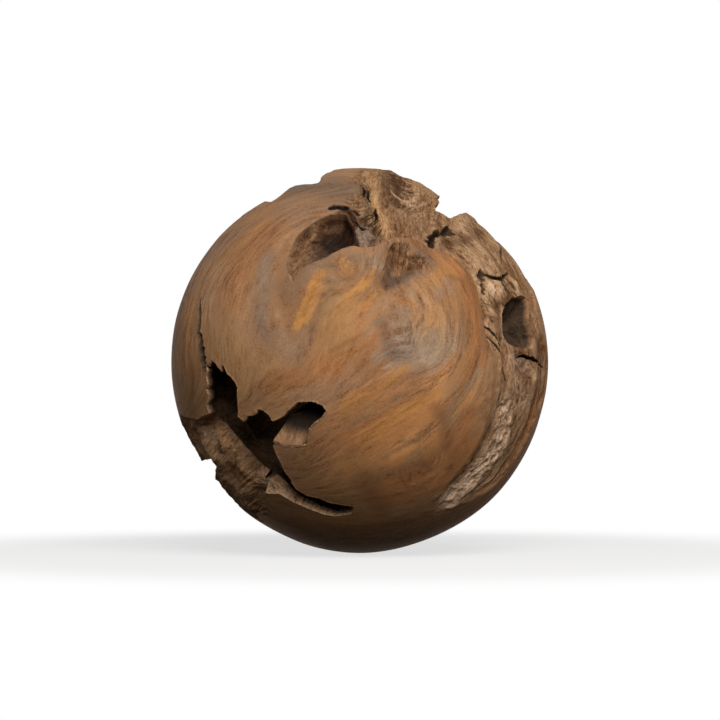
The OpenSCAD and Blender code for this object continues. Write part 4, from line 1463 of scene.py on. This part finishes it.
RAW_STREAKS = tuple(Streak(*row) for row in (
    (Hue.RAW_UMBER, 34, 0.9, ((4, 76), (14, 62), (20, 50), (34, 44))),
    (Hue.CHAR, 13, 0.75, ((60, 80), (48, 76), (30, 68), (24, 62))),
    (Hue.RAW_GOLD, 5, 0.6, ((58, 84.6), (17, 77.5), (9.5, 60), (13.3, 49), (15, 43.3))),
    (Hue.RAW_PALE, 2, 0.8, ((28, 67.2), (31.7, 63.2), (40, 62), (52, 66))),
    (Hue.RAW_PALE, 1.6, 0.6, ((30, 62), (36, 59), (48, 61))),
    (Hue.CHAR, 4, 0.6, ((4, 68), (5, 62), (6, 57), (2, 50), (-2, 46))),
    (Hue.RAW_DARK, 6, 0.8, ((43.6, 42.9), (52.4, 42.7), (71.6, 46.4))),
    (Hue.RAW_DARK, 7, 0.8, ((47.5, 18.9), (54.3, 18), (64, 20.2))),
    (Hue.RAW_DARK, 6, 0.7, ((47, 15), (50.6, 12.7), (51, 8.6))),
    # strands over the top of the belt
    (Hue.RAW_DARK, 2, 0.6, ((23, 70), (25, 59.4), (29.6, 52.8), (29.2, 43))),
    (Hue.RAW_UMBER, 3, 0.6, ((18, 64), (20, 58), (22, 52), (23, 45))),
    (Hue.RAW_GOLD, 3, 0.6, ((8.5, 62), (9.2, 57), (10.6, 46))),
    (Hue.UMBER, 6, 0.5, ((33, 38), (38, 35.5), (42, 30))),
    # inside the cup, with the pale ridge on its left
    (Hue.ORANGE, 6, 0.7, ((76, 18), (75, 11), (78, 4))),
    (Hue.RAW_DARK, 5, 0.6, ((70, 19), (66, 14), (66, 8))),
    (Hue.RAW_PALE, 1.5, 0.5, ((56, 17.5), (52.6, 13), (51.4, 9.5), (52.4, 6))),
    (Hue.RAW_GREY, 6, 0.9, ((58, 0.7), (62, -1.2), (65, -2.7))),
    (Hue.RAW_PALE, 10, 0.5, ((57, -2), (62, -8), (67, -14))),
    (Hue.RAW_GOLD, 5, 0.7, ((48.4, 3.2), (49.3, 0), (48.4, -3))),
    (Hue.RAW_UMBER, 7, 0.8, ((44, -11), (44.5, -18), (43.5, -24.4), (41, -31),
                             (37.5, -37.9))),
    # the pale crumbly floor of the channel
    (Hue.RAW_PALE, 11, 0.95, CRUMBLY[0][1]),
    (Hue.RAW_UMBER, 2.5, 0.8, ((61.5, -17), (62.5, -25), (58, -35), (53, -42), (49, -47))),
    (Hue.ORANGE, 6, 0.8, ((76, -10), (73.8, -17.9), (71.2, -26.1), (68.7, -34.2), (63, -42))),
    # the curls in the knot
    (Hue.RAW_UMBER, 14, 0.8, ((14, 36), (13, 31), (20, 32))),
    (Hue.CHAR, 1.8, 0.6, ((17.4, 38.4), (15.3, 36.2), (16.4, 34.4), (19, 33.4),
                          (23.5, 33.2))),
    (Hue.RAW_DARK, 2, 0.6, ((13, 37), (11.6, 33.5), (11, 30.6))),
    (Hue.RAW_GREY, 3.5, 0.5, ((18, 37.5), (21, 36.5), (23, 35))),
    # the ground beside the hollow: a gold crest with painted light on it, and a dark foot
    (Hue.RAW_DARK, 18, 0.3, ((-82, -20), (-78, -32), (-72, -42), (-74, -52))),
    (Hue.RAW_GOLD, 7, 0.8, ((-70, -19.5), (-60, -24), (-54, -29), (-53, -34), (-55, -42))),
    # a painted highlight along the crest, where it faces the light
    (Hue.RAW_PALE, 5, 0.6, ((-70, -20.5), (-65, -23.5), (-60, -26))),
    (Hue.RAW_DARK, 5, 0.4, ((-60, -29), (-50, -31), (-46, -36))),
    # the eye: black-brown at its deep end, dark wood and painted shadow; a worn floor at its foot
    (Hue.RAW_DARK, 22, 0.85, ((-26, 34), (-20, 44), (-8, 44))),
    (Hue.CHAR, 17, 0.95, ((-21, 48), (-14, 53), (-7, 49), (-3, 43))),
    (Hue.RAW_DARK, 2.5, 0.6, ((-24, 42), (-18, 47), (-10, 49))),
    (Hue.RAW_UMBER, 8, 0.7, ((-27, 31), (-24, 36), (-20, 37))),
    (Hue.RAW_GREY, 5, 0.6, ((-0.5, 40.5), (1.5, 43.5), (3.2, 41))),
    # the face of the ledge
    (Hue.RAW_PALE, 8, 0.15, CRUMBLY[2][1]),
    # the nubs on the belt
    (Hue.RAW_PALE, 4, 0.4, ((54, 25.5), (55.5, 22.5))),
    (Hue.RAW_GOLD, 5, 0.7, ((71, 29), (72.5, 24.5))),
))


def painted(
    base: Hue, streaks: Sequence[Streak], directions: Array, grain: Array, spread: float
) -> Array:
    """Linear colours of the wood at unit vectors.

    Each streak covers what lies under it by its strength, down to nothing past its half width.
    Noise drawn out along the grain, 5 mm wide and 50 mm long, frays its edge.

    Args:
        base: the colour between the streaks.
        streaks: the streaks, from the lowest to the top one.
        directions: unit vectors, (points, 3).
        grain: distance across the grain at each of them.
        spread: how much wider each streak is drawn, as a share of its half width.
    Returns:
        Red, green and blue, (points, 3).
    """
    fray = 0.6 * NOISE.layered(fibre_space(directions * RADIUS, grain, 5.0, 50.0), 3) + spread
    colour = np.broadcast_to(linear(base.value)[:3], directions.shape).copy()
    for streak in streaks:
        away = distance_to(directions, streak.path) / streak.width
        share = streak.strength * ease((1.3 - away + fray) / 0.9)
        colour = mix(colour, np.array(linear(streak.hue.value)[:3]), share[:, None])
    return colour


# ---- finishes ----


Source = Union[bpy.types.Node, bpy.types.NodeSocket, float, Sequence[float]]
Palette = Sequence[tuple[float, str]]  # places from 0 to 1, each with its colour

WHITE = "#FFFFFF"
BLENDED = {"data_type": "RGBA"}
MULTIPLIED = {"data_type": "RGBA", "blend_type": "MULTIPLY"}
EASED = {"interpolation_type": "SMOOTHSTEP"}


def put(
    tree: bpy.types.NodeTree, kind: str, sources: dict[Union[int, str], Source],
    stops: Palette = (), **settings: Any
) -> bpy.types.Node:
    """Adds a node with its settings, links and values.

    Args:
        tree: the node tree.
        kind: the node's type, less the word ShaderNode that starts each of them.
        sources: what each named or numbered input gets: a value, a socket, or a node, which
            stands for its first output in use.
        stops: the colours of a colour ramp.
        settings: the node's own settings.
    Returns:
        The new node.
    """
    node = tree.nodes.new("ShaderNode" + kind)
    for setting, value in settings.items():
        setattr(node, setting, value)
    for k, (place, colour) in enumerate(sorted(stops)):
        ramp = node.color_ramp.elements
        stop = ramp[k] if k < 2 else ramp.new(1.0)  # a new ramp has two stops
        stop.position, stop.color = place, linear(colour)
    for socket, source in sources.items():
        if isinstance(source, bpy.types.Node):
            source = next(output for output in source.outputs if output.enabled)
        if isinstance(source, bpy.types.NodeSocket):
            tree.links.new(source, node.inputs[socket])
        else:
            node.inputs[socket].default_value = source
    return node


def weighed(tree: bpy.types.NodeTree, *parts: tuple[Source, float]) -> Source:
    """Adds up how far each part is from 0.5, times its weight, round a middle of 0.5.

    Args:
        tree: the node tree.
        parts: each part and its weight.
    Returns:
        The sum.
    """
    total: Source = 0.5 - 0.5 * sum(weight for _, weight in parts)
    for part, weight in parts:
        total = put(tree, "Math", {0: part, 1: weight, 2: total}, operation="MULTIPLY_ADD")
    return total


def seen(tree: bpy.types.NodeTree) -> bpy.types.Node:
    """Tells the rays that are seen, by the camera or through a mirror or a clear thing.

    Args:
        tree: the node tree.
    Returns:
        A node that gives 1 on those rays and 0 on all others.
    """
    rays = put(tree, "LightPath", {}).outputs
    passed = put(tree, "Math", {0: rays["Is Glossy Ray"], 1: rays["Is Transmission Ray"]},
                 operation="MAXIMUM")
    return put(tree, "Math", {0: rays["Is Camera Ray"], 1: passed}, operation="MAXIMUM")


def bare_material(name: str) -> bpy.types.Material:
    """Adds a material with an empty node tree.

    Args:
        name: the material's name.
    Returns:
        The new material.
    """
    made = bpy.data.materials.new(name)
    made.use_nodes = True
    made.node_tree.nodes.clear()
    return made


@dataclass(frozen=True)
class Pattern:
    """Noise of a real size, drawn out along the grain."""

    wide: float  # mm across the grain
    long: float  # mm along the grain
    detail: float = 2.0  # finer layers
    wave: float = 0.0  # distortion

    def lay(self, tree: bpy.types.NodeTree, mm: Source, across: Source = 0.0) -> bpy.types.Node:
        """Adds the pattern to a node tree.

        The noise's fourth coordinate is the distance across the grain over the width, and the
        other three are the place over the length, so it hardly changes along a fibre. With no
        distance across the grain it is even all round.

        Args:
            tree: the node tree.
            mm: the place in mm.
            across: distance across the grain in mm.
        Returns:
            The noise, about 0.5 in the middle.
        """
        place = put(tree, "VectorMath", {0: mm, 3: 1.0 / self.long}, operation="SCALE")
        depth = put(tree, "Math", {0: across, 1: 1.0 / self.wide}, operation="MULTIPLY")
        return put(tree, "TexNoise",
                   {"Vector": place, "W": depth, "Scale": 1.0, "Detail": self.detail,
                    "Roughness": 0.55, "Distortion": self.wave}, noise_dimensions="4D")


@dataclass(frozen=True)
class TeakRoot:
    """Teak root wood, sanded to a satin skin and left raw in its hollows.

    Sanding leaves the skin smooth, with short fine lines along the grain and hardly any sheen.
    The raw wood is dull and fibrous, dark between its fibres, and paler at its lips, which are
    rubbed and partly carry a painted highlight; the deep hollows are painted nearly black as
    shade. Fibres and growth lines are drawn coarser than real ones, which are too fine to show.
    """

    # tones that the wood's own hue is multiplied by, from dark lines to light ones
    sanded: Palette = ((0.22, "#A08A80"), (0.42, "#D8CCC4"), (0.58, "#EEE8E2"), (0.78, WHITE))
    raw: Palette = ((0.18, "#57443A"), (0.36, "#A08C80"), (0.52, "#D8CCC2"), (0.70, WHITE))
    tint: Palette = ((0.35, "#F6F4F4"), (0.65, "#FFF7EC"))
    pore: str = "#5A3C27"
    # pale lips: rubbed wood with a painted highlight on the edge
    worn_and_highlight: str = "#BC946C"
    # the painted shade that deep places and cracks are darkened towards
    cave: str = "#27221F"

    # sanded skin
    growth: Pattern = Pattern(1.0, 9.0)
    fibre: Pattern = Pattern(2.6, 22.0, wave=0.5)
    band: Pattern = Pattern(9.0, 70.0, wave=0.4)
    pores: Pattern = Pattern(0.7, 14.0, detail=1.0)
    mottle: Pattern = Pattern(1.0, 1.6)

    # raw wood
    thread: Pattern = Pattern(1.3, 9.0, wave=0.4)
    strand: Pattern = Pattern(5.0, 24.0, wave=0.8)
    curl: Pattern = Pattern(3.0, 7.0, detail=3.0, wave=1.6)
    crumb: Pattern = Pattern(1.0, 2.2, detail=3.0)

    middle: tuple[float, float] = (0.42, 0.58)  # of a noise, where its edges are drawn
    pore_from: tuple[float, float] = (0.66, 0.76)  # of a noise, where a pore opens
    pore_share: float = 0.2  # how much of its colour an open pore shows
    worn_and_highlight_share: float = 0.7  # the same for a pale lip, partly a painted highlight
    torn_lift: float = 0.16  # how much lighter torn wood's tone is than its noise, times two
    mark_mm: float = 0.16  # height of the sanding marks
    fibre_mm: float = 1.6  # height of the raw fibres
    satin: float = 0.42  # roughness of the sanded skin,
    satin_fibres: float = 0.2  # what its fibres add to it
    satin_raw: float = 0.3  # and what raw wood adds
    ior: float = 1.5
    specular: float = 0.01  # dry wood with hardly any sheen

    def material(self) -> bpy.types.Material:
        """Builds the material.

        Returns:
            The teak, with its sanded and its raw surface.
        """
        made = bare_material("sanded_teak_root")
        tree = made.node_tree
        add = partial(put, tree)
        place = add("TexCoord", {}).outputs["Object"]
        mm = add("VectorMath", {0: place, 3: 1.0 / MM}, operation="SCALE")
        grain, raw_grain, wide, tight, wear_and_shade = (
            add("Attribute", {}, attribute_name=name).outputs
            for name in ("grain", "grain_raw", "hue_wide", "hue_tight", "wear_and_shade"))
        # rawness, pale lips, painted shade and the belt's height come in one attribute
        raw_share, lip_share, shade_share = add("SeparateColor", {0: wear_and_shade["Color"]}).outputs[:3]
        height, crumbly_share = wear_and_shade["Alpha"], wide["Alpha"]
        growth, fibres, bands, pores = (
            pattern.lay(tree, mm, grain["Fac"])
            for pattern in (self.growth, self.fibre, self.band, self.pores))
        threads, strands, curls = (
            pattern.lay(tree, mm, raw_grain["Fac"])
            for pattern in (self.thread, self.strand, self.curl))
        mottle, crumbs = (pattern.lay(tree, mm) for pattern in (self.mottle, self.crumb))

        # the coloured streaks' edges break up into fibres
        frayed = weighed(tree, (growth, 0.6), (fibres, 0.8), (mottle, 0.3))
        split = add("MapRange", {0: frayed, 1: self.middle[0], 2: self.middle[1]}, **EASED)
        hue = add("Mix", {0: split, 6: tight["Color"], 7: wide["Color"]}, **BLENDED)

        # sanded: lines and mottle, warmer and cooler bands, and dark open pores
        lines = weighed(tree, (growth, 0.5), (fibres, 0.55), (bands, 0.5), (mottle, 0.5))
        tone = add("ValToRGB", {0: lines}, stops=self.sanded)
        tint = add("ValToRGB", {0: bands}, stops=self.tint)
        toned = add("Mix", {0: 1.0, 6: hue, 7: tone}, **MULTIPLIED)
        tinted = add("Mix", {0: 1.0, 6: toned, 7: tint}, **MULTIPLIED)
        opened = add("MapRange", {0: pores, 1: self.pore_from[0], 2: self.pore_from[1],
                                  4: self.pore_share}, **EASED)
        sanded = add("Mix", {0: opened, 6: tinted, 7: linear(self.pore)}, **BLENDED)

        # raw: soft curls, faint strands, torn crumbs, painted light and shade by the belt's height
        smooth = weighed(tree, (threads, 0.2), (strands, 0.3), (curls, 0.9), (height, 0.5))
        rugged = weighed(tree, (threads, 0.55), (crumbs, 0.9), (curls, 0.4), (height, 0.4),
                         (1.0, self.torn_lift))
        torn = add("Mix", {0: crumbly_share, 2: smooth, 3: rugged})
        tone = add("ValToRGB", {0: torn}, stops=self.raw)
        raw = add("Mix", {0: 1.0, 6: hue, 7: tone}, **MULTIPLIED)

        # the raw wood over the skin, then its rubbed lips and the painted shade in its deep places
        colour = add("Mix", {0: raw_share, 6: sanded, 7: raw}, **BLENDED)
        rubbed_and_highlit = add("MapRange", {0: crumbs, 1: self.middle[0], 2: self.middle[1],
                                  4: self.worn_and_highlight_share}, **EASED)
        lip = add("Math", {0: lip_share, 1: rubbed_and_highlit}, operation="MULTIPLY")
        # the lips' pale colour is partly a painted highlight on the edge
        colour = add("Mix", {0: lip, 6: colour, 7: linear(self.worn_and_highlight)}, **BLENDED)
        # painted shade: deep places are darkened towards the cave colour
        colour = add("Mix", {0: shade_share, 6: colour, 7: linear(self.cave)}, **BLENDED)

        # relief that is too fine for the mesh
        scratches = weighed(tree, (growth, 1.0), (mottle, 0.6))
        marks = add("Bump", {"Height": scratches, "Distance": self.mark_mm * MM, "Strength": 1.0})
        fuzz = add("Math", {0: torn, 1: raw_share}, operation="MULTIPLY")
        surface = add("Bump", {"Height": fuzz, "Distance": self.fibre_mm * MM, "Strength": 1.0,
                               "Normal": marks})
        satin = add("Math", {0: fibres, 1: self.satin_fibres, 2: self.satin},
                    operation="MULTIPLY_ADD")
        matt = add("Math", {0: raw_share, 1: self.satin_raw, 2: satin},
                   operation="MULTIPLY_ADD", use_clamp=True)
        wood = add("BsdfPrincipled", {"Base Color": colour, "Roughness": matt, "Normal": surface,
                                      "IOR": self.ior, "Specular IOR Level": self.specular})
        add("OutputMaterial", {"Surface": wood})
        return made


# ---- the whole ball ----


# hollows, cracks and the saw's face under the arm darken the deeper they lie
# painted shade on each kind of surface: depths in mm below the outside, each with a share
SHADE_BY_DEPTH = {
    Made.RAW: ((8.0, 0.0), (22.0, 0.7), (24.0, 0.7), (36.0, 0.4)),
    Made.DARK_AND_SHADED: ((0.5, 0.0), (5.0, 0.85)),
    Made.SAWN: ((3.0, 0.15), (11.0, 0.95)),
    Made.CAVE: ((18.0, 0.8), (32.0, 0.55)),
}


@dataclass
class RootBall:
    """The teak root ball: builds its mesh, works out its grain and tones, and dresses it."""

    name: str = "teak_ball"
    hollow: RootHollow = field(default_factory=RootHollow)
    edge: OuterEdge = field(default_factory=OuterEdge)
    pockets: Sequence[Pocket] = POCKETS
    cracks: Sequence[Crack] = CRACKS
    finish: TeakRoot = field(default_factory=TeakRoot)
    sharp_angle: float = 38.0  # between smooth faces, in degrees
    relief_mm: float = 7.0  # depth on the belt over which its tones darken as painted shade
    relief_floor: float = 0.3  # the height's floor, so that the painted shade in dishes stays light
    sawn_rawness: float = 0.7
    cut_crumbs: float = 0.3  # how crumbly a cut surface is
    patch_crumbs: float = 0.9  # how crumbly a crumbly patch is
    streak_spread: float = 0.35  # how far a streak's fibres reach past its edge or short of it

    def build(self) -> bpy.types.Object:
        """Builds the skin, cuts the hollows, keeps the one whole piece and dresses it.

        Returns:
            The ball as one closed mesh.
        """
        root = Root(RootSkin(), GrainField(SANDED_STROKES, whorls=WHORLS),
                    GrainField(RAW_STROKES, width=0.3))
        ball = root.skin.surface(root.raw).to_object(self.name)
        cave, *burrows = [
            opening.surface(root).to_object("cave") for opening in self.hollow.openings()]
        self.cut(cave, burrows, "UNION")
        self.cut(cave, [self.hollow.block().surface(root).to_object("block")], "DIFFERENCE")
        openings = [self.hollow.ground(), self.hollow.ledge(), *self.edge.trims(), *self.pockets,
                    GAP_BACK, *self.cracks]
        cutters = [opening.surface(root).to_object("opening") for opening in openings]
        self.cut(ball, [cave, *cutters], "DIFFERENCE")
        self.keep_whole(ball.data)
        self.dress(ball, root)
        return ball

    def cut(self, piece: bpy.types.Object, tools: list[bpy.types.Object], operation: str) -> None:
        """Applies one Boolean a tool to the piece, in order, and removes the tools.

        Args:
            piece: what is changed.
            tools: what it is changed by.
            operation: the Boolean's kind.
        """
        for tool in tools:
            step = piece.modifiers.new("cut", "BOOLEAN")
            step.operation, step.solver, step.object = operation, "MANIFOLD", tool
        whole = bpy.context.evaluated_depsgraph_get()
        mesh = bpy.data.meshes.new_from_object(piece.evaluated_get(whole))
        piece.modifiers.clear()
        for old in [piece.data, *(tool.data for tool in tools)]:
            if old is piece.data:
                piece.data = mesh
            bpy.data.meshes.remove(old)

    def keep_whole(self, mesh: bpy.types.Mesh) -> None:
        """Deletes every chip that hangs free of the ball.

        Each point takes the lowest number among its neighbours until nothing changes, so the
        points of one shell share a number, and the shell with the most points stays.

        Args:
            mesh: the ball's mesh.
        """
        a, b = read(mesh.edges, "vertices", 2).T
        label = np.arange(len(mesh.vertices))
        while True:
            lower = label.copy()
            np.minimum.at(lower, a, label[b])
            np.minimum.at(lower, b, label[a])
            lower = lower[lower]
            if (lower == label).all():
                break
            label = lower
        shells, counts = np.unique(label, return_counts=True)
        loose = label != shells[counts.argmax()]
        if loose.any():
            work = bmesh.new()
            work.from_mesh(mesh)
            bmesh.ops.delete(work, geom=list(compress(work.verts, loose)), context="VERTS")
            work.to_mesh(mesh)
            work.free()
        log.info("%d loose chips deleted, %d points", len(shells) - 1, loose.sum())

    def dress(self, ball: bpy.types.Object, root: Root) -> None:
        """Writes grain, colours, wear and painted shade at each point, and gives it its material.

        Args:
            ball: the finished mesh.
            root: the outside and the grain.
        """
        mesh = ball.data
        count = len(mesh.vertices)
        spots = read(mesh.vertices, "co", 3, float) / MM
        directions = unit(spots)
        sanded, raw = root.sanded.across(directions), root.raw.across(directions)

        tags = read(mesh.attributes["made"].data, "value")
        sizes, corners = read(mesh.polygons, "loop_total"), read(mesh.loops, "vertex_index")
        faces_at = np.maximum(np.bincount(corners, minlength=count), 1)
        share = [np.bincount(corners, np.repeat(tags, sizes) == made, count) / faces_at
                 for made in Made]

        sunk = root.skin.smooth_radius(directions) - np.linalg.norm(spots, axis=1)
        belt = root.skin.rawness(directions) * share[Made.SKIN]
        cut = share[Made.RAW] + share[Made.CAVE] + share[Made.DARK_AND_SHADED] + share[Made.WORN_AND_HIGHLIT]
        sawn = self.sawn_rawness * share[Made.SAWN]
        rawness = np.clip(np.maximum(belt, cut) + sawn, 0.0, 1.0)
        # painted shade: each kind of surface darkens with its depth below the outside
        painted_shade = sum(eased(sunk, knots) * share[made] for made, knots in SHADE_BY_DEPTH.items())
        # the belt's height, which its raw tones follow: painted shade in dips, painted light on
        # crests
        height = np.clip(0.5 - sunk / self.relief_mm * belt, self.relief_floor, 1.0)
        crumbs = np.maximum(crumbly(directions) * self.patch_crumbs, self.cut_crumbs * cut)
        layers = {"grain": sanded, "grain_raw": raw,
                  "wear_and_shade": np.stack([rawness, share[Made.WORN_AND_HIGHLIT], painted_shade, height], 1)}
        for name, spread in (("hue_wide", self.streak_spread), ("hue_tight", -self.streak_spread)):
            hue = mix(painted(Hue.BROWN, SANDED_STREAKS, directions, sanded, spread),
                      painted(Hue.RAW, RAW_STREAKS, directions, raw, spread), rawness[:, None])
            layers[name] = np.concatenate([hue, np.clip(crumbs, 0.0, 1.0)[:, None]], 1)
        for name, values in layers.items():
            kind, key = ("FLOAT", "value") if values.ndim == 1 else ("FLOAT_COLOR", "color")
            mesh.attributes.new(name, kind, "POINT").data.foreach_set(key, values.ravel())
        mesh.polygons.foreach_set("use_smooth", np.ones(len(mesh.polygons), bool))
        mesh.set_sharp_from_angle(angle=math.radians(self.sharp_angle))
        mesh.materials.clear()
        mesh.materials.append(self.finish.material())
        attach(ball, "root")
        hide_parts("ball")


# ---- the studio ----


@dataclass(frozen=True)
class PaperFloor:
    """Matt white paper under the ball: pale to the eye, with the ball's soft shadow on it."""

    paper: str = "#E9E7E4"
    bounce: str = "#1E1C1A"  # what the paper sends back to the ball's underside
    near: float = 0.22  # metres from the middle where the paper starts to fade into white
    far: float = 0.55
    haze: float = 0.7  # share of plain white over the paper under the ball

    def material(self) -> bpy.types.Material:
        """Builds the material.

        Returns:
            The paper.
        """
        made = bare_material("white_paper")
        tree = made.node_tree
        add = partial(put, tree)
        place = add("TexCoord", {}).outputs["Object"]
        level = add("VectorMath", {0: place, 1: (1.0, 1.0, 0.0)}, operation="MULTIPLY")
        away = add("VectorMath", {0: level}, operation="LENGTH")
        fade = add("MapRange", {0: away, 1: self.near, 2: self.far}, **EASED)
        share = add("MapRange", {0: fade, 3: self.haze}, **EASED)
        plain = add("BsdfDiffuse", {"Color": linear(self.bounce)})
        lit = add("BsdfDiffuse", {"Color": linear(self.paper)})
        white = add("Emission", {"Color": linear(WHITE), "Strength": 1.0})
        paper = add("MixShader", {0: share, 1: lit, 2: white})
        surface = add("MixShader", {0: seen(tree), 1: plain, 2: paper})
        add("OutputMaterial", {"Surface": surface})
        return made


@dataclass(frozen=True)
class Softbox:
    """A large square lamp aimed at the ball."""

    name: str
    round_deg: float  # from the front, towards the right
    up_deg: float
    away: float  # metres
    side: float  # metres
    level: float  # how white it makes a white card that faces it

    def light(self) -> None:
        """Hangs the lamp: pi squared times the distance squared watts light a card to 1."""
        lamp = bpy.data.lights.new(self.name, "AREA")
        lamp.shape, lamp.size = "SQUARE", self.side
        lamp.energy = math.pi**2 * self.away**2 * self.level
        hung = bpy.data.objects.new(self.name, lamp)
        way = Vector(towards(np.array([self.round_deg, self.up_deg])))
        hung.location = way * self.away
        hung.rotation_euler = way.to_track_quat("Z", "Y").to_euler()
        bpy.context.scene.collection.objects.link(hung)


@dataclass(frozen=True)
class Studio:
    """The floor, the lamps, the white surroundings and the camera."""

    lamps: Sequence[Softbox] = (
        Softbox("key", 13.0, 35.0, 2.4, 1.7, 1.10),
        Softbox("fill", -55.0, 8.0, 2.4, 1.4, 0.06),
    )
    air: float = 0.06  # light from all round
    floor_half: float = 6.0  # half the floor's side, in metres
    floor_gap: float = 0.0005  # metres under the ball's lowest point
    camera_away: float = 3.0  # metres from the ball's middle
    middle_px: tuple[float, float] = (359.7, 362.2)
    radius_px: float = 188.47
    frame_px: float = 720.0
    sensor_mm: float = 36.0

    def set_up(self) -> None:
        """Builds the studio round the ball."""
        scene = bpy.context.scene
        scene.view_settings.view_transform = "Standard"
        self.floor()
        for lamp in self.lamps:
            lamp.light()
        self.surroundings(scene)
        self.camera(scene)

    def floor(self) -> None:
        """Lays the paper under the ball's lowest point."""
        low, half = float(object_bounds()[0][2]) - self.floor_gap, self.floor_half
        corners = [(-half, -half, low), (half, -half, low), (half, half, low), (-half, half, low)]
        sheet = bpy.data.meshes.new("floor")
        sheet.from_pydata(corners, [], [(0, 1, 2, 3)])
        sheet.materials.append(PaperFloor().material())
        paper = bpy.data.objects.new("floor", sheet)
        bpy.context.scene.collection.objects.link(paper)
        paper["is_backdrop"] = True

    def surroundings(self, scene: bpy.types.Scene) -> None:
        """White to the camera and in reflections, a low even light to everything else.

        Args:
            scene: the scene that gets them.
        """
        world = bpy.data.worlds.new("studio")
        world.use_nodes = True
        tree = world.node_tree
        tree.nodes.clear()
        strength = put(tree, "Math", {0: seen(tree), 1: 1.0 - self.air, 2: self.air},
                       operation="MULTIPLY_ADD")
        white = put(tree, "Background", {"Color": linear(WHITE), "Strength": strength})
        put(tree, "OutputWorld", {"Surface": white})
        scene.world = world

    def camera(self, scene: bpy.types.Scene) -> None:
        """A level camera in front, whose lens draws the round at its measured size.

        A ball of radius r at distance d is seen under the angle asin(r / d), so the focal length
        in pixels is the radius in pixels over that angle's tangent. The lens is shifted, so that
        the camera stays level.

        Args:
            scene: the scene that gets it.
        """
        lens = bpy.data.cameras.new("camera")
        focal = self.radius_px / math.tan(math.asin(RADIUS * MM / self.camera_away))
        lens.sensor_width = self.sensor_mm
        lens.lens = focal * lens.sensor_width / self.frame_px
        lens.shift_x = (self.frame_px / 2 - self.middle_px[0]) / self.frame_px
        lens.shift_y = (self.middle_px[1] - self.frame_px / 2) / self.frame_px
        eye = bpy.data.objects.new("camera", lens)
        eye.location = (0.0, -self.camera_away, 0.0)
        eye.rotation_euler = (math.pi / 2, 0.0, 0.0)
        scene.collection.objects.link(eye)
        scene.camera = eye


def main() -> None:
    """Builds the ball and the studio, and logs the ball's faces and the number of lamps."""
    logging.basicConfig(level=logging.INFO, format="%(name)s: %(message)s")
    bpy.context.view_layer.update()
    ball = RootBall().build()
    log.info("%s: %d faces", ball.name, len(ball.data.polygons))
    Studio().set_up()
    log.info("studio: %d lamps", len(Studio().lamps))


if __name__ == "__main__":
    main()
